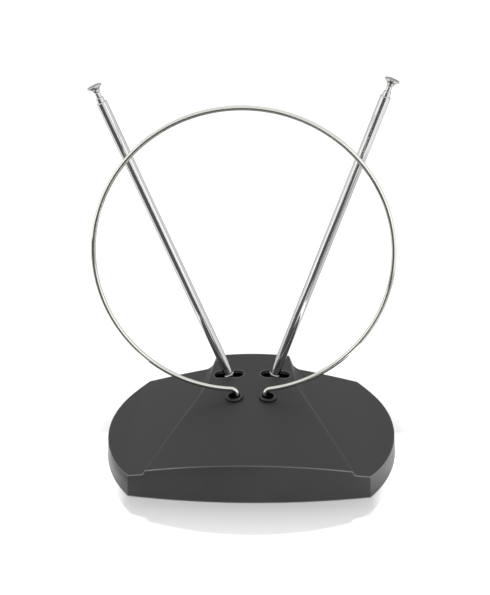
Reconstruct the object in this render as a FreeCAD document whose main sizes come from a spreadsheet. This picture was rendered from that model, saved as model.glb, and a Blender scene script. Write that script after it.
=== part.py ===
import FreeCAD, Part
import math
import os
import Sketcher

# Indoor television antenna: two telescopic rods that swing in slots and a wire loop, on a
# weighted plastic base.
# Origin: on the table, under the centre of the base. +Z is up, -Y is the front, +X is to the
# right as seen from the front. Millimetres and degrees throughout.

Vector = FreeCAD.Vector
Rotation = FreeCAD.Rotation
Placement = FreeCAD.Placement
X_AXIS = Vector(1, 0, 0)
Y_AXIS = Vector(0, 1, 0)
Z_AXIS = Vector(0, 0, 1)

# Each row is a spreadsheet alias, its number, and what it measures.
SIZES = [
    ("base_radius", 95.0, "circle that both end walls lie on, at the foot of the wall"),
    ("side_radius", 430.0, "bow of the front and rear walls"),
    ("half_depth", 65.35, "centre of the base to the middle of the front wall"),
    ("wall_draft", 5.0, "lean of the outer walls"),
    ("floor_gap", 0.4, "foot of the wall above the table"),
    ("wall", 2.2, "thickness of the top cover"),
    ("blank_height", 40.0, "height of the blocks that the cover is cut from"),
    ("blank_margin", 5.0, "how far those blocks reach beyond the base"),
    ("cut_low", 15.0, "foot of the cuts that open the roof, inside the cavity"),
    ("cut_length", 20.0, "length of the drills that cut a hole right through"),
    ("cut_margin", 1.0, "how far a short cut reaches beyond its piece"),
    ("seat_gap", 0.1, "play between pieces that are pushed together"),
    ("snug_gap", 0.05, "play round pieces that sit tight"),
    ("press_gap", 0.02, "play round pieces that are pressed in"),
    ("wing_edge", 13.6, "height of the cover at its two ends"),
    ("wing_knee", 79.6, "distance from the middle to where the wings start to rise"),
    ("wing_slope", 10.4, "rise of the wings towards the middle"),
    ("wing_shoulder", 20.0, "distance from the middle to where the wings stop rising"),
    ("wing_round", 60.0, "rounding where the wings start to rise"),
    ("hump_middle", 50.5, "half width of the raised panel's foot, on its flared lines"),
    ("hump_flare", 18.75, "flare of the raised panel towards the front"),
    ("hump_neck", 44.45, "half width of the raised panel's foot, on its rear lines"),
    ("neck_flare", 6.3, "flare of the raised panel's rear lines"),
    ("hump_round", 100.0, "rounding between the flared lines and the rear lines"),
    ("hump_draft", 20.0, "lean of the raised panel's flanks"),
    ("panel_height", 30.26, "top of the raised panel above the origin"),
    ("panel_rise", 4.035, "rise of the raised panel towards the rear"),
    ("panel_crown", 290.0, "radius of the raised panel across the antenna"),
    ("edge_round", 0.6, "rounding of the cover's outer edges"),
    ("crease_round", 1.1, "rounding of the raised panel's long edges"),
    ("flank_round_front", 2.0, "hollow between panel flank and wing, at the front"),
    ("flank_round_neck", 6.0, "hollow between panel flank and wing, at the neck"),
    ("flank_round_rear", 9.5, "hollow between panel flank and wing, at the rear"),
    ("cover_gap", 0.25, "play of the bottom cover inside the wall"),
    ("floor_thickness", 2.0, "thickness of the bottom cover"),
    ("floor_low", 1.0, "underside of the bottom cover above the table"),
    ("pad_half_width", 56.0, "half width of the rubber pad under the base"),
    ("pad_half_depth", 44.0, "half depth of the rubber pad"),
    ("pad_corner", 12.0, "corner radius of the rubber pad"),
    ("pad_thickness", 1.8, "thickness of the rubber pad"),
    ("pad_gap", 0.2, "play of the rubber pad in its recess"),
    ("cover_screw_x", 66.0, "cover screws, from the middle"),
    ("cover_screw_y", 38.0, "cover screws, from the middle"),
    ("screw_radius", 1.45, "shank of every 3 mm screw"),
    ("screw_hole", 1.5, "hole that a 3 mm screw bites into"),
    ("screw_head", 2.8, "pan head radius"),
    ("screw_head_height", 1.8, "pan head height"),
    ("screw_head_round", 0.5, "rounding of a pan head"),
    ("screw_point", 0.6, "chamfer at the end of a shank"),
    ("boss_radius", 3.6, "screw bosses of the covers"),
    ("boss_top", 15.0, "top of the top cover's bosses, inside its roof"),
    ("boss_roof", 2.5, "plastic above a boss's hole"),
    ("boss_hole_low", 5.0, "foot of the drill that cuts a boss's hole"),
    ("cover_boss_top", 5.2, "top of the bottom cover's screw wells"),
    ("well_radius", 4.4, "outside of the screw wells"),
    ("well_bore", 3.1, "inside of the screw wells"),
    ("well_depth", 2.4, "depth of the screw wells"),
    ("cover_screw_length", 8.6, "cover screws under the head"),
    ("ballast_screw_length", 4.4, "steel plate's screws under the head"),
    ("board_screw_length", 6.4, "circuit board's screws under the head"),
    ("bracket_screw_length", 5.4, "rod bracket's screws under the head"),
    ("drive_radius", 0.9, "socket in a screw's head"),
    ("drive_depth", 1.0, "socket in a screw's head"),
    ("clear_hole", 1.7, "hole that a 3 mm screw passes freely"),
    ("post_radius", 3.2, "posts of the bottom cover"),
    ("post_root", 0.5, "how far posts and wells reach into the bottom cover"),
    ("post_floor", 1.2, "plastic below a post's hole"),
    ("ballast_half_width", 50.0, "steel plate, half width"),
    ("ballast_half_depth", 20.0, "steel plate, half depth"),
    ("ballast_y", -31.0, "centre of the steel plate"),
    ("ballast_thickness", 4.0, "steel plate, thickness"),
    ("ballast_peg_x", 38.0, "pegs that locate the steel plate"),
    ("peg_radius", 2.5, "pegs that locate the steel plate"),
    ("peg_gap", 0.2, "play of the pegs in the steel plate"),
    ("peg_short", 0.4, "pegs' ends below the top of the steel plate"),
    ("board_half_width", 26.0, "circuit board, half width"),
    ("board_half_depth", 13.0, "circuit board, half depth"),
    ("board_y", 13.0, "centre of the circuit board"),
    ("board_low", 10.0, "underside of the circuit board"),
    ("board_thickness", 1.6, "circuit board, thickness"),
    ("board_post_x", 21.0, "posts of the circuit board"),
    ("core_radius", 6.0, "ferrite ring, outside"),
    ("core_bore", 3.0, "ferrite ring, inside"),
    ("core_height", 4.0, "ferrite ring, height"),
    ("core_lift", 1.2, "ferrite ring above the board"),
    ("core_y", 15.0, "centre of the ferrite ring"),
    ("turn_radius", 2.85, "one turn of the winding"),
    ("winding_wire", 0.25, "radius of the winding's wire"),
    ("jack_height", 16.0, "axis of the coaxial jack above the table"),
    ("jack_seat", 63.1, "flat on the rear wall that the jack's washer sits on"),
    ("jack_seat_radius", 8.2, "radius of that flat"),
    ("jack_boss_front", 60.6, "inner end of the boss behind the flat"),
    ("jack_flange", 6.6, "jack's flange inside the wall"),
    ("jack_thread", 4.76, "jack's thread, 3/8 inch nominal"),
    ("jack_neck", 4.6, "jack's barrel where the nut sits"),
    ("jack_bore", 3.4, "inside of the jack's barrel"),
    ("jack_end", 74.6, "outer end of the jack"),
    ("jack_flange_thickness", 2.2, "thickness of the jack's flange"),
    ("jack_neck_spare", 0.2, "neck beyond the nut"),
    ("jack_chamfer", 0.4, "chamfer at the jack's outer end"),
    ("insulator_drop", 0.7, "insulator's face behind the jack's outer end"),
    ("insulator_face", 1.0, "thickness of the insulator in front of the contact"),
    ("insulator_back", 0.2, "insulator's rear end inside the flange"),
    ("contact_drop", 1.8, "contact's mouth behind the jack's outer end"),
    ("contact_depth", 6.0, "depth of the contact's bore"),
    ("contact_tail", 6.0, "contact's tail behind the jack's seat"),
    ("contact_bore", 0.6, "hole for the cable's centre conductor"),
    ("contact_radius", 1.2, "jack's centre contact"),
    ("washer_thickness", 0.6, "jack's lock washer"),
    ("nut_across_flats", 12.6, "jack's hexagon nut"),
    ("nut_thickness", 2.4, "jack's hexagon nut"),
    ("lead_radius", 0.7, "insulated leads from the rods to the board"),
    ("coax_lead_radius", 1.4, "lead from the jack to the board"),
    ("lead_bend", 2.0, "bends of the leads"),
    ("lead_rise", 3.0, "top of the rod leads above the board"),
    ("lead_rear", 3.0, "rear end of the rod leads, in front of the rods' plane"),
    ("lead_front", 9.0, "front end of the rod leads, from the board's centre"),
    ("lead_x", 6.2, "rod leads, outwards from the pivot"),
    ("jack_lead_front", 11.0, "front end of the jack's lead, from the board's centre"),
    ("loop_y", 8.64, "loop's plane at its foot, from the middle"),
    ("loop_z", 35.95, "height of the loop plane's reference point"),
    ("loop_lean", 3.1, "backward lean of the loop"),
    ("loop_radius", 93.9, "loop, to the middle of the wire"),
    ("loop_offset", -3.85, "loop's centre, from the middle"),
    ("loop_rise", 92.7, "loop's centre above the reference point"),
    ("loop_shrink_left", 7.0, "how much tighter the loop's lower left quarter is"),
    ("loop_shrink_right", 4.0, "how much tighter the loop's lower right quarter is"),
    ("loop_wire", 1.55, "radius of the loop's wire"),
    ("loop_leg_x", 9.3, "loop's two legs, from the middle"),
    ("loop_leg_depth", 20.0, "legs below the reference point"),
    ("loop_bend", 3.8, "bends at the top of the legs"),
    ("grommet_x", 11.0, "centre of each grommet, from the middle"),
    ("grommet_y", 8.68, "centre of each grommet"),
    ("grommet_hole", 4.9, "hole in the cover for a grommet"),
    ("grommet_flange", 6.0, "grommet's flange radius"),
    ("grommet_proud", 1.6, "grommet above the panel"),
    ("grommet_bore", 3.9, "grommet's bore radius"),
    ("grommet_lift", 0.12, "grommet's flange clear of the crowned panel"),
    ("grommet_lip", 1.2, "thickness of the flange inside the cover"),
    ("grommet_step", 0.4, "how much smaller that flange is"),
    ("grommet_round", 0.7, "rounding outside the grommet"),
    ("grommet_bevel", 0.5, "bevel of the grommet's mouth"),
    ("terminal_radius", 3.0, "brass terminal, outside"),
    ("terminal_bore", 1.6, "brass terminal, bore for the loop's leg"),
    ("terminal_low", -24.05, "foot of the terminal, from the loop's reference point"),
    ("terminal_high", -10.5, "top of the terminal, from the loop's reference point"),
    ("set_screw_drop", -14.0, "set screw, from the loop's reference point"),
    ("set_screw_radius", 1.2, "set screw of a terminal"),
    ("set_screw_length", 2.8, "set screw of a terminal"),
    ("slot_x", 15.95, "centre of each rod slot, from the middle"),
    ("slot_length", 20.4, "rod slot, end to end"),
    ("slot_width", 8.8, "rod slot, front to rear"),
    ("rod_y", 36.9, "plane that both rods swing in"),
    ("pivot_x", 10.0, "rod pivots, from the middle"),
    ("pivot_z", 17.17, "rod pivots above the table"),
    ("lean_left", 21.2, "lean of the left rod from upright"),
    ("lean_right", 19.4, "lean of the right rod from upright"),
    ("pin_radius", 1.5, "pivot pin"),
    ("pin_hole", 1.55, "knuckle's hole for the pin"),
    ("pin_head", 1.1, "pin's head, its height and its overhang"),
    ("pin_head_round", 0.4, "rounding of the pin's head"),
    ("pin_rivet", 0.9, "pin's riveted end, its height and its overhang"),
    ("pin_rivet_taper", 0.3, "taper of the riveted end"),
    ("blade_radius", 4.0, "round end of the knuckle"),
    ("blade_half", 2.8, "half thickness of the knuckle's blade"),
    ("ear_half_gap", 3.2, "half gap between the bracket's ears"),
    ("sheet", 1.2, "thickness of the bracket's steel"),
    ("ear_radius", 4.6, "round top of the bracket's ears"),
    ("bracket_drop", 6.5, "bracket's floor below the pivot"),
    ("bracket_tab", 15.0, "end of the bracket's tab, from the pivot"),
    ("bracket_screw_x", 10.5, "bracket's screw, from the pivot"),
    ("bracket_rest_x", 9.0, "post under the bracket's inner end, from the middle"),
    ("spring_washer", 0.3, "thickness of the pivot's spring washer"),
    ("spring_washer_width", 1.9, "spring washer, from its hole to its rim"),
    ("shoulder_low", 8.0, "foot of the knuckle's round shoulder, from the pivot"),
    ("shoulder_radius", 3.0, "knuckle's round shoulder"),
    ("stem_top", 26.0, "top of the knuckle's stem, from the pivot"),
    ("tube_low", 15.4, "foot of the outer tube, from the pivot"),
    ("bead_radius", 3.6, "bead at the foot of the outer tube"),
    ("bead_height", 1.5, "bead at the foot of the outer tube"),
    ("bead_round", 0.3, "rounding of that bead"),
    ("outer_radius", 3.3, "outer tube"),
    ("outer_top", 219.5, "top of the outer tube, from the pivot"),
    ("tube_wall", 0.3, "wall of every tube"),
    ("second_radius", 2.4, "second tube"),
    ("second_low", 27.2, "foot of the second tube"),
    ("second_top", 222.7, "top of the second tube"),
    ("third_radius", 1.7, "third tube"),
    ("third_low", 29.2, "foot of the third tube"),
    ("third_top", 226.0, "top of the third tube"),
    ("tip_radius", 1.1, "innermost rod"),
    ("tip_low", 31.2, "foot of the innermost rod"),
    ("rim", 1.4, "rolled rim at the top of a tube"),
    ("slide_gap", 0.05, "running clearance of the telescope"),
    ("sleeve_height", 10.0, "split sleeve at the foot of each sliding stage"),
    ("sleeve_slit", 0.6, "slit of a sleeve"),
    ("sleeve_taper", 0.1, "taper at a sleeve's two ends"),
    ("sleeve_lead", 0.6, "length of that taper"),
    ("knob_low", 226.2, "foot of the tip knob, from the pivot"),
    ("knob_grip", 1.9, "how far the innermost rod reaches into the knob"),
    ("knob_collar", 2.25, "tip knob's collar"),
    ("knob_collar_round", 0.2, "rounding of the collar's foot"),
    ("knob_collar_height", 1.2, "tip knob's collar"),
    ("knob_radius", 4.65, "tip knob's disc"),
    ("knob_height", 4.3, "tip knob, end to end"),
]

SIDES = [("left", -1), ("right", 1)]

# Rolled rim of a tube: share of the rim's width inwards, and millimetres below the tube's top.
RIM_CURVE = [(0, 0.45), (0.2, 0.12), (0.5, 0), (0.75, 0), (1, 0.15)]
# Tip knob's flare: share of the way from collar to disc, and millimetres above the knob's foot.
KNOB_FLARE = [(0.12, 1.7), (0.38, 2.3), (0.8, 2.8), (1, 3.1)]
# Tip knob's crown: millimetres inwards from the disc's edge, and below its top.
KNOB_CROWN = [(0, 0.55), (0.2, 0.25), (0.9, 0.08)]

# How edges and faces are told apart, in millimetres, or as the share of a unit normal.
LONG_EDGE = 10.0
TALL_EDGE = 30.0
SAME_PLACE = 0.02
NEAR_PANEL = 0.5
KNEE_CLEAR = 5.0
ABOVE_FOOT = 0.1
MOSTLY = 0.5
TURNS = 7

doc = FreeCAD.newDocument("antenna")
sheet = doc.addObject("Spreadsheet::Sheet", "Sizes")
for row, (alias, number, meaning) in enumerate(SIZES, start=1):
    sheet.set(f"A{row}", alias)
    sheet.set(f"B{row}", str(number))
    sheet.set(f"C{row}", meaning)
    sheet.setAlias(f"B{row}", alias)
doc.recompute()


def size(alias):
    """The number behind one alias."""
    return sheet.get(alias)


def value(expression):
    """The number that an expression on the sheet gives."""
    return float(sheet.evalExpression(expression))


def bind(thing, **expressions):
    """Tie properties of an object to expressions on the sheet."""
    for name, expression in expressions.items():
        thing.setExpression(name, expression)
    return thing


# ---------------------------------------------------------------- sketches and features

def new_body(label, placement=None):
    body = doc.addObject("PartDesign::Body", label)
    body.Label = label
    if placement:
        body.Placement = placement
    return body


def empty_sketch(body, role, offset="0"):
    """A sketch on one of the body's own origin planes, moved along its normal."""
    sketch = body.newObject("Sketcher::SketchObject", "Sketch")
    plane = next(item for item in body.Origin.OriginFeatures if item.Role == role)
    sketch.AttachmentSupport = [(plane, "")]
    sketch.MapMode = "FlatFace"
    if offset != "0":
        sketch.setExpression(".AttachmentOffset.Base.z", offset)
    return sketch


def bind_point(sketch, geometry, position, x, y):
    """Hold one point of the sketch at two expressions, measured from the sketch's origin."""
    for kind, expression in (("DistanceX", x), ("DistanceY", y)):
        held = Sketcher.Constraint(kind, -1, 1, geometry, position, value(expression))
        index = sketch.addConstraint(held)
        sketch.setExpression(f"Constraints[{index}]", expression)


def polygon(body, role, corners, offset="0"):
    """A closed outline whose corners are pairs of expressions."""
    sketch = empty_sketch(body, role, offset)
    points = [Vector(value(x), value(y), 0) for x, y in corners]
    count = len(points)
    for index in range(count):
        sketch.addGeometry(Part.LineSegment(points[index], points[(index + 1) % count]))
    for index in range(count):
        following = (index + 1) % count
        sketch.addConstraint(Sketcher.Constraint("Coincident", index, 2, following, 1))
    for index, (x, y) in enumerate(corners):
        bind_point(sketch, index, 1, x, y)
    return sketch


def circles(body, role, places, offset="0"):
    """Circles given as (x, y, radius) expressions."""
    sketch = empty_sketch(body, role, offset)
    for index, (x, y, radius) in enumerate(places):
        centre = Vector(value(x), value(y), 0)
        sketch.addGeometry(Part.Circle(centre, Z_AXIS, value(radius)))
        bind_point(sketch, index, 3, x, y)
        held = sketch.addConstraint(Sketcher.Constraint("Radius", index, value(radius)))
        sketch.setExpression(f"Constraints[{held}]", radius)
    return sketch


def rectangle(body, role, left, low, right, high, offset="0"):
    corners = [(left, low), (right, low), (right, high), (left, high)]
    return polygon(body, role, corners, offset)


def extrude(body, kind, sketch, length, symmetric=False, backwards=False, taper="0"):
    """A Pad or a Pocket of the sketch."""
    feature = body.newObject(f"PartDesign::{kind}", kind)
    feature.Profile = sketch
    feature.SideType = "Symmetric" if symmetric else "One side"
    feature.Reversed = backwards
    bind(feature, Length=length)
    if taper != "0":
        bind(feature, TaperAngle=taper)
    body.Tip = feature
    return feature


def cut_through(body, sketch):
    """Cut the sketch right through the body, both ways."""
    feature = body.newObject("PartDesign::Pocket", "Pocket")
    feature.Profile = sketch
    feature.Type = "ThroughAll"
    feature.SideType = "Symmetric"
    body.Tip = feature
    return feature


def spin(body, sketch):
    """Turn a half outline about the body's own Z axis."""
    feature = body.newObject("PartDesign::Revolution", "Revolution")
    feature.Profile = sketch
    feature.ReferenceAxis = (sketch, ["V_Axis"])
    feature.Angle = 360
    body.Tip = feature
    return feature


def turned(label, outline, placement):
    """A turned piece: (radius, height) expressions round the body's Z axis."""
    body = new_body(label, placement)
    spin(body, polygon(body, "XZ_Plane", outline))
    return body


def swept_wire(label, placement, role, spine, start, radius):
    """A round wire along a plane path that starts upwards at the point start."""
    body = new_body(label, placement)
    path = empty_sketch(body, role)
    for edge in spine:
        path.addGeometry(edge)
    across, height = start
    centre = (across, "0") if role == "XZ_Plane" else ("0", across)
    section = circles(body, "XY_Plane", [(*centre, radius)], offset=height)
    pipe = body.newObject("PartDesign::AdditivePipe", "AdditivePipe")
    pipe.Profile = section
    pipe.Spine = path
    body.Tip = pipe
    return body


def arc_between(centre, radius, start_angle, end_angle):
    """An anticlockwise arc in the sketch plane, its angles in radians."""
    circle = Part.Circle(centre, Z_AXIS, radius)
    return Part.ArcOfCircle(circle, start_angle, end_angle)


def angle_of(vector):
    return math.atan2(vector.y, vector.x)


# ------------------------------------------------------------------------- base: covers

def outline_block(name, inset, low, height):
    """The base's outline as three drafted cones: both ends, the front and the rear."""
    lean = f"({height}) * tan(Sizes.wall_draft)"
    blocks = []
    for part, radius, shift in (
        ("ends", "Sizes.base_radius", "0"),
        ("front", "Sizes.side_radius", "Sizes.side_radius - Sizes.half_depth"),
        ("rear", "Sizes.side_radius", "Sizes.half_depth - Sizes.side_radius"),
    ):
        cone = doc.addObject("Part::Cone", f"{name}_{part}")
        bind(cone, Radius1=f"{radius} - ({inset})", Height=height)
        bind(cone, Radius2=f"{radius} - ({inset}) - {lean}")
        cone.setExpression("Placement.Base.y", shift)
        cone.setExpression("Placement.Base.z", low)
        blocks.append(cone)
    common = doc.addObject("Part::MultiCommon", f"{name}_outline")
    common.Shapes = blocks
    return common


def wing_block(name, drop):
    """The roof of the two wings, as a bar along Y."""
    body = new_body(f"{name}_wings")
    edge = f"Sizes.wing_edge - {drop}"
    ridge = f"{edge} + (Sizes.wing_knee - Sizes.wing_shoulder) * tan(Sizes.wing_slope)"
    reach = "Sizes.base_radius + Sizes.blank_margin"
    roof = [
        (f"-({reach})", "Sizes.floor_gap"),
        (reach, "Sizes.floor_gap"),
        (reach, edge),
        ("Sizes.wing_knee", edge),
        ("Sizes.wing_shoulder", ridge),
        ("-Sizes.wing_shoulder", ridge),
        ("-Sizes.wing_knee", edge),
        (f"-({reach})", edge),
    ]
    depth = "2 * Sizes.half_depth + 4 * Sizes.blank_margin"
    extrude(body, "Pad", polygon(body, "XZ_Plane", roof), depth, symmetric=True)
    doc.recompute()
    round_edges(body, knee_edges(body.Shape), "Sizes.wing_round")
    return body


def knee_edges(shape):
    """The two long edges where the wings start to rise."""
    knee = size("wing_knee")
    names = []
    for index, edge in enumerate(shape.Edges, start=1):
        box = edge.BoundBox
        if abs(abs(box.Center.x) - knee) < SAME_PLACE and box.YLength > LONG_EDGE:
            names.append(f"Edge{index}")
    return names


def round_edges(body, names, radius):
    before = body.Tip
    fillet = body.newObject("PartDesign::Fillet", "Fillet")
    fillet.Base = (before, names)
    bind(fillet, Radius=radius)
    body.Tip = fillet
    return fillet


def hump_block(name, inset, drop):
    """The raised panel: a flared outline with leaning flanks under a crowned, rising top."""
    body = new_body(f"{name}_hump")
    reach = "Sizes.half_depth + 2 * Sizes.blank_margin"
    flare = "tan(Sizes.hump_flare)"
    neck = "tan(Sizes.neck_flare)"
    knee_y = f"(Sizes.hump_middle - Sizes.hump_neck) / ({flare} - {neck})"
    front_x = f"Sizes.hump_middle - {inset} + ({reach}) * {flare}"
    knee_x = f"Sizes.hump_middle - {inset} - {knee_y} * {flare}"
    rear_x = f"Sizes.hump_neck - {inset} - ({reach}) * {neck}"
    plan = [
        (f"-({front_x})", f"-({reach})"),
        (front_x, f"-({reach})"),
        (knee_x, knee_y),
        (rear_x, reach),
        (f"-({rear_x})", reach),
        (f"-({knee_x})", knee_y),
    ]
    sketch = polygon(body, "XY_Plane", plan, offset="Sizes.floor_gap")
    pad = extrude(body, "Pad", sketch, "Sizes.blank_height")
    doc.recompute()
    sides = []
    for index, face in enumerate(pad.Shape.Faces, start=1):
        if abs(face.normalAt(0, 0).x) > MOSTLY:
            sides.append(f"Face{index}")
    foot = next(
        f"Face{index}"
        for index, face in enumerate(pad.Shape.Faces, start=1)
        if face.normalAt(0, 0).z < -MOSTLY
    )
    draft = body.newObject("PartDesign::Draft", "Draft")
    draft.Base = (pad, sides)
    draft.NeutralPlane = (pad, [foot])
    bind(draft, Angle="Sizes.hump_draft")
    body.Tip = draft
    doc.recompute()
    waist = value(knee_y)
    names = []
    for index, edge in enumerate(body.Shape.Edges, start=1):
        box = edge.BoundBox
        if box.ZLength > TALL_EDGE and abs(box.Center.y - waist) < LONG_EDGE / 2:
            names.append(f"Edge{index}")
    round_edges(body, names, "Sizes.hump_round")

    crown = doc.addObject("Part::Cylinder", f"{name}_crown")
    bind(crown, Radius="Sizes.panel_crown", Height="Sizes.half_depth * 3")
    rise = math.radians(size("panel_rise"))
    along = Vector(0, math.cos(rise), math.sin(rise))
    upward = Vector(0, -math.sin(rise), math.cos(rise))
    top = Vector(0, 0, size("panel_height") - value(drop) / math.cos(rise))
    foot = top - upward * size("panel_crown") - along * value("Sizes.half_depth * 1.5")
    crown.Placement = Placement(foot, Rotation(Z_AXIS, along))
    return common_of(f"{name}_panel", [body, crown])


def common_of(name, shapes):
    common = doc.addObject("Part::MultiCommon", name)
    common.Shapes = shapes
    return common


def fuse_of(name, shapes):
    fuse = doc.addObject("Part::MultiFuse", name)
    fuse.Shapes = shapes
    fuse.Refine = True
    return fuse


def cut_of(name, base, tool):
    cut = doc.addObject("Part::Cut", name)
    cut.Base = base
    cut.Tool = tool
    return cut


def roof_block(name, inset, drop):
    """Wings and raised panel together, still longer than the base."""
    parts = [wing_block(name, drop), hump_block(name, inset, drop)]
    return fuse_of(f"{name}_roof", parts)


def long_edges(shape, wanted):
    """The edges that run front to rear and pass a test of their two ends."""
    found = []
    for index, edge in enumerate(shape.Edges, start=1):
        start = edge.valueAt(edge.FirstParameter)
        end = edge.valueAt(edge.LastParameter)
        if edge.BoundBox.YLength > LONG_EDGE and wanted(start) and wanted(end):
            found.append((index, start, end))
    return found


def on_panel(point):
    """Is the point on the raised panel's top?"""
    crown = size("panel_crown") - math.sqrt(size("panel_crown") ** 2 - point.x**2)
    rise = point.y * math.tan(math.radians(size("panel_rise")))
    return abs(size("panel_height") + rise - crown - point.z) < NEAR_PANEL


def in_hollow(point):
    """Is the point at the foot of one of the panel's flanks?"""
    inside = abs(point.x) < size("wing_knee") - KNEE_CLEAR
    return inside and point.z > size("wing_edge") and not on_panel(point)


def flank_round(point):
    """The hollow's radius, which grows towards the rear."""
    depth = size("half_depth")
    steps = [
        (-depth, "flank_round_front"),
        (depth / 3, "flank_round_neck"),
        (depth, "flank_round_rear"),
    ]
    nearest = min(steps, key=lambda step: abs(step[0] - point.y))
    return size(nearest[1])


def softened_roof(roof):
    """The roof with hollow corners at the foot of the flanks and a round crease above them."""
    doc.recompute()
    hollow = doc.addObject("Part::Fillet", "hollow")
    hollow.Base = roof
    hollow.Edges = [
        (index, flank_round(start), flank_round(end))
        for index, start, end in long_edges(roof.Shape, in_hollow)
    ]
    doc.recompute()
    crease = doc.addObject("Part::Fillet", "crease")
    crease.Base = hollow
    radius = size("crease_round")
    crease.Edges = [
        (index, radius, radius) for index, _, _ in long_edges(hollow.Shape, on_panel)
    ]
    return crease


def on_wall(point):
    """Is the point on one of the three cones of the outer wall?"""
    lean = (point.z - size("floor_gap")) * math.tan(math.radians(size("wall_draft")))
    centre = size("side_radius") - size("half_depth")
    gaps = [
        math.hypot(point.x, point.y) - size("base_radius") + lean,
        math.hypot(point.x, point.y - centre) - size("side_radius") + lean,
        math.hypot(point.x, point.y + centre) - size("side_radius") + lean,
    ]
    return min(abs(gap) for gap in gaps) < SAME_PLACE


def rounded_form(form):
    """The outer form with its upper outline and its four upright corners rounded."""
    doc.recompute()
    radius = size("edge_round")
    foot = size("floor_gap") + ABOVE_FOOT
    edges = []
    for index, edge in enumerate(form.Shape.Edges, start=1):
        middle = edge.valueAt((edge.FirstParameter + edge.LastParameter) / 2)
        points = [vertex.Point for vertex in edge.Vertexes] + [middle]
        if all(on_wall(point) for point in points) and middle.z > foot:
            edges.append((index, radius, radius))
    rounded = doc.addObject("Part::Fillet", "rounded")
    rounded.Base = form
    rounded.Edges = edges
    return rounded


def cylinder(name, radius, height, at, axis=Z_AXIS):
    """A cylinder that starts at a point given as three expressions."""
    solid = doc.addObject("Part::Cylinder", name)
    bind(solid, Radius=radius, Height=height)
    solid.Placement.Rotation = Rotation(Z_AXIS, axis)
    for letter, expression in zip("xyz", at):
        solid.setExpression(f"Placement.Base.{letter}", expression)
    return solid


def box(name, width, depth, height, centre):
    """A box centred on two expressions in plan, standing on a third."""
    solid = doc.addObject("Part::Box", name)
    bind(solid, Length=width, Width=depth, Height=height)
    x, y, z = centre
    solid.setExpression("Placement.Base.x", f"{x} - ({width}) / 2")
    solid.setExpression("Placement.Base.y", f"{y} - ({depth}) / 2")
    solid.setExpression("Placement.Base.z", z)
    return solid


def labelled(solid, label):
    solid.Label = label
    return solid


def four_corners(name, radius, height, low):
    """Four upright cylinders at the cover screws' places."""
    solids = []
    for across in ("", "-"):
        for along in ("", "-"):
            at = (f"{across}Sizes.cover_screw_x", f"{along}Sizes.cover_screw_y", low)
            solids.append(cylinder(name, radius, height, at))
    return solids


def slot_cuts():
    """Two long holes with round ends, for the rods."""
    solids = []
    reach = "(Sizes.slot_length - Sizes.slot_width)"
    for side in ("", "-"):
        centre = f"{side}Sizes.slot_x"
        at = (centre, "Sizes.rod_y", "Sizes.cut_low")
        solids.append(box("slot", reach, "Sizes.slot_width", "Sizes.blank_height", at))
        for end in ("+", "-"):
            at = (f"{centre} {end} {reach} / 2", "Sizes.rod_y", "Sizes.cut_low")
            solids.append(cylinder("slot_end", "Sizes.slot_width / 2", "Sizes.blank_height", at))
    return solids


def top_cover():
    outline = outline_block("outside", "0", "Sizes.floor_gap", "Sizes.blank_height")
    roof = softened_roof(roof_block("outside", "0", "0"))
    outside = rounded_form(common_of("outside_form", [outline, roof]))
    hollow_outline = outline_block("inside", "Sizes.wall", "0", "Sizes.blank_height")
    hollow_roof = roof_block("inside", "Sizes.wall", "Sizes.wall")
    inside = common_of("inside_form", [hollow_outline, hollow_roof])
    shell = cut_of("shell", outside, inside)

    boss_low = "Sizes.cover_boss_top + Sizes.seat_gap"
    bosses = four_corners(
        "boss", "Sizes.boss_radius", f"Sizes.boss_top - ({boss_low})", boss_low
    )
    jack_boss = cylinder(
        "jack_boss",
        "Sizes.jack_seat_radius",
        "Sizes.jack_seat - Sizes.jack_boss_front",
        ("0", "Sizes.jack_boss_front", "Sizes.jack_height"),
        Y_AXIS,
    )
    solid = fuse_of("cover_solid", [shell, jack_boss] + bosses)

    hole_low = "Sizes.boss_hole_low"
    hole_length = f"Sizes.boss_top - Sizes.boss_roof - {hole_low}"
    holes = four_corners("boss_hole", "Sizes.screw_hole", hole_length, hole_low)
    for side in ("", "-"):
        at = (f"{side}Sizes.grommet_x", "Sizes.grommet_y", "Sizes.cut_low")
        holes.append(cylinder("wire_hole", "Sizes.grommet_hole", "Sizes.blank_height", at))
    seat = ("0", "Sizes.jack_seat", "Sizes.jack_height")
    length = "Sizes.cut_length"
    holes.append(cylinder("jack_flat", "Sizes.jack_seat_radius", length, seat, Y_AXIS))
    inner = ("0", "Sizes.jack_boss_front - Sizes.cut_margin", "Sizes.jack_height")
    holes.append(cylinder("jack_hole", "Sizes.jack_neck + Sizes.seat_gap", length, inner, Y_AXIS))
    cuts = fuse_of("cover_cuts", holes + slot_cuts())
    return labelled(cut_of("top_cover", solid, cuts), "top_cover")


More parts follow.
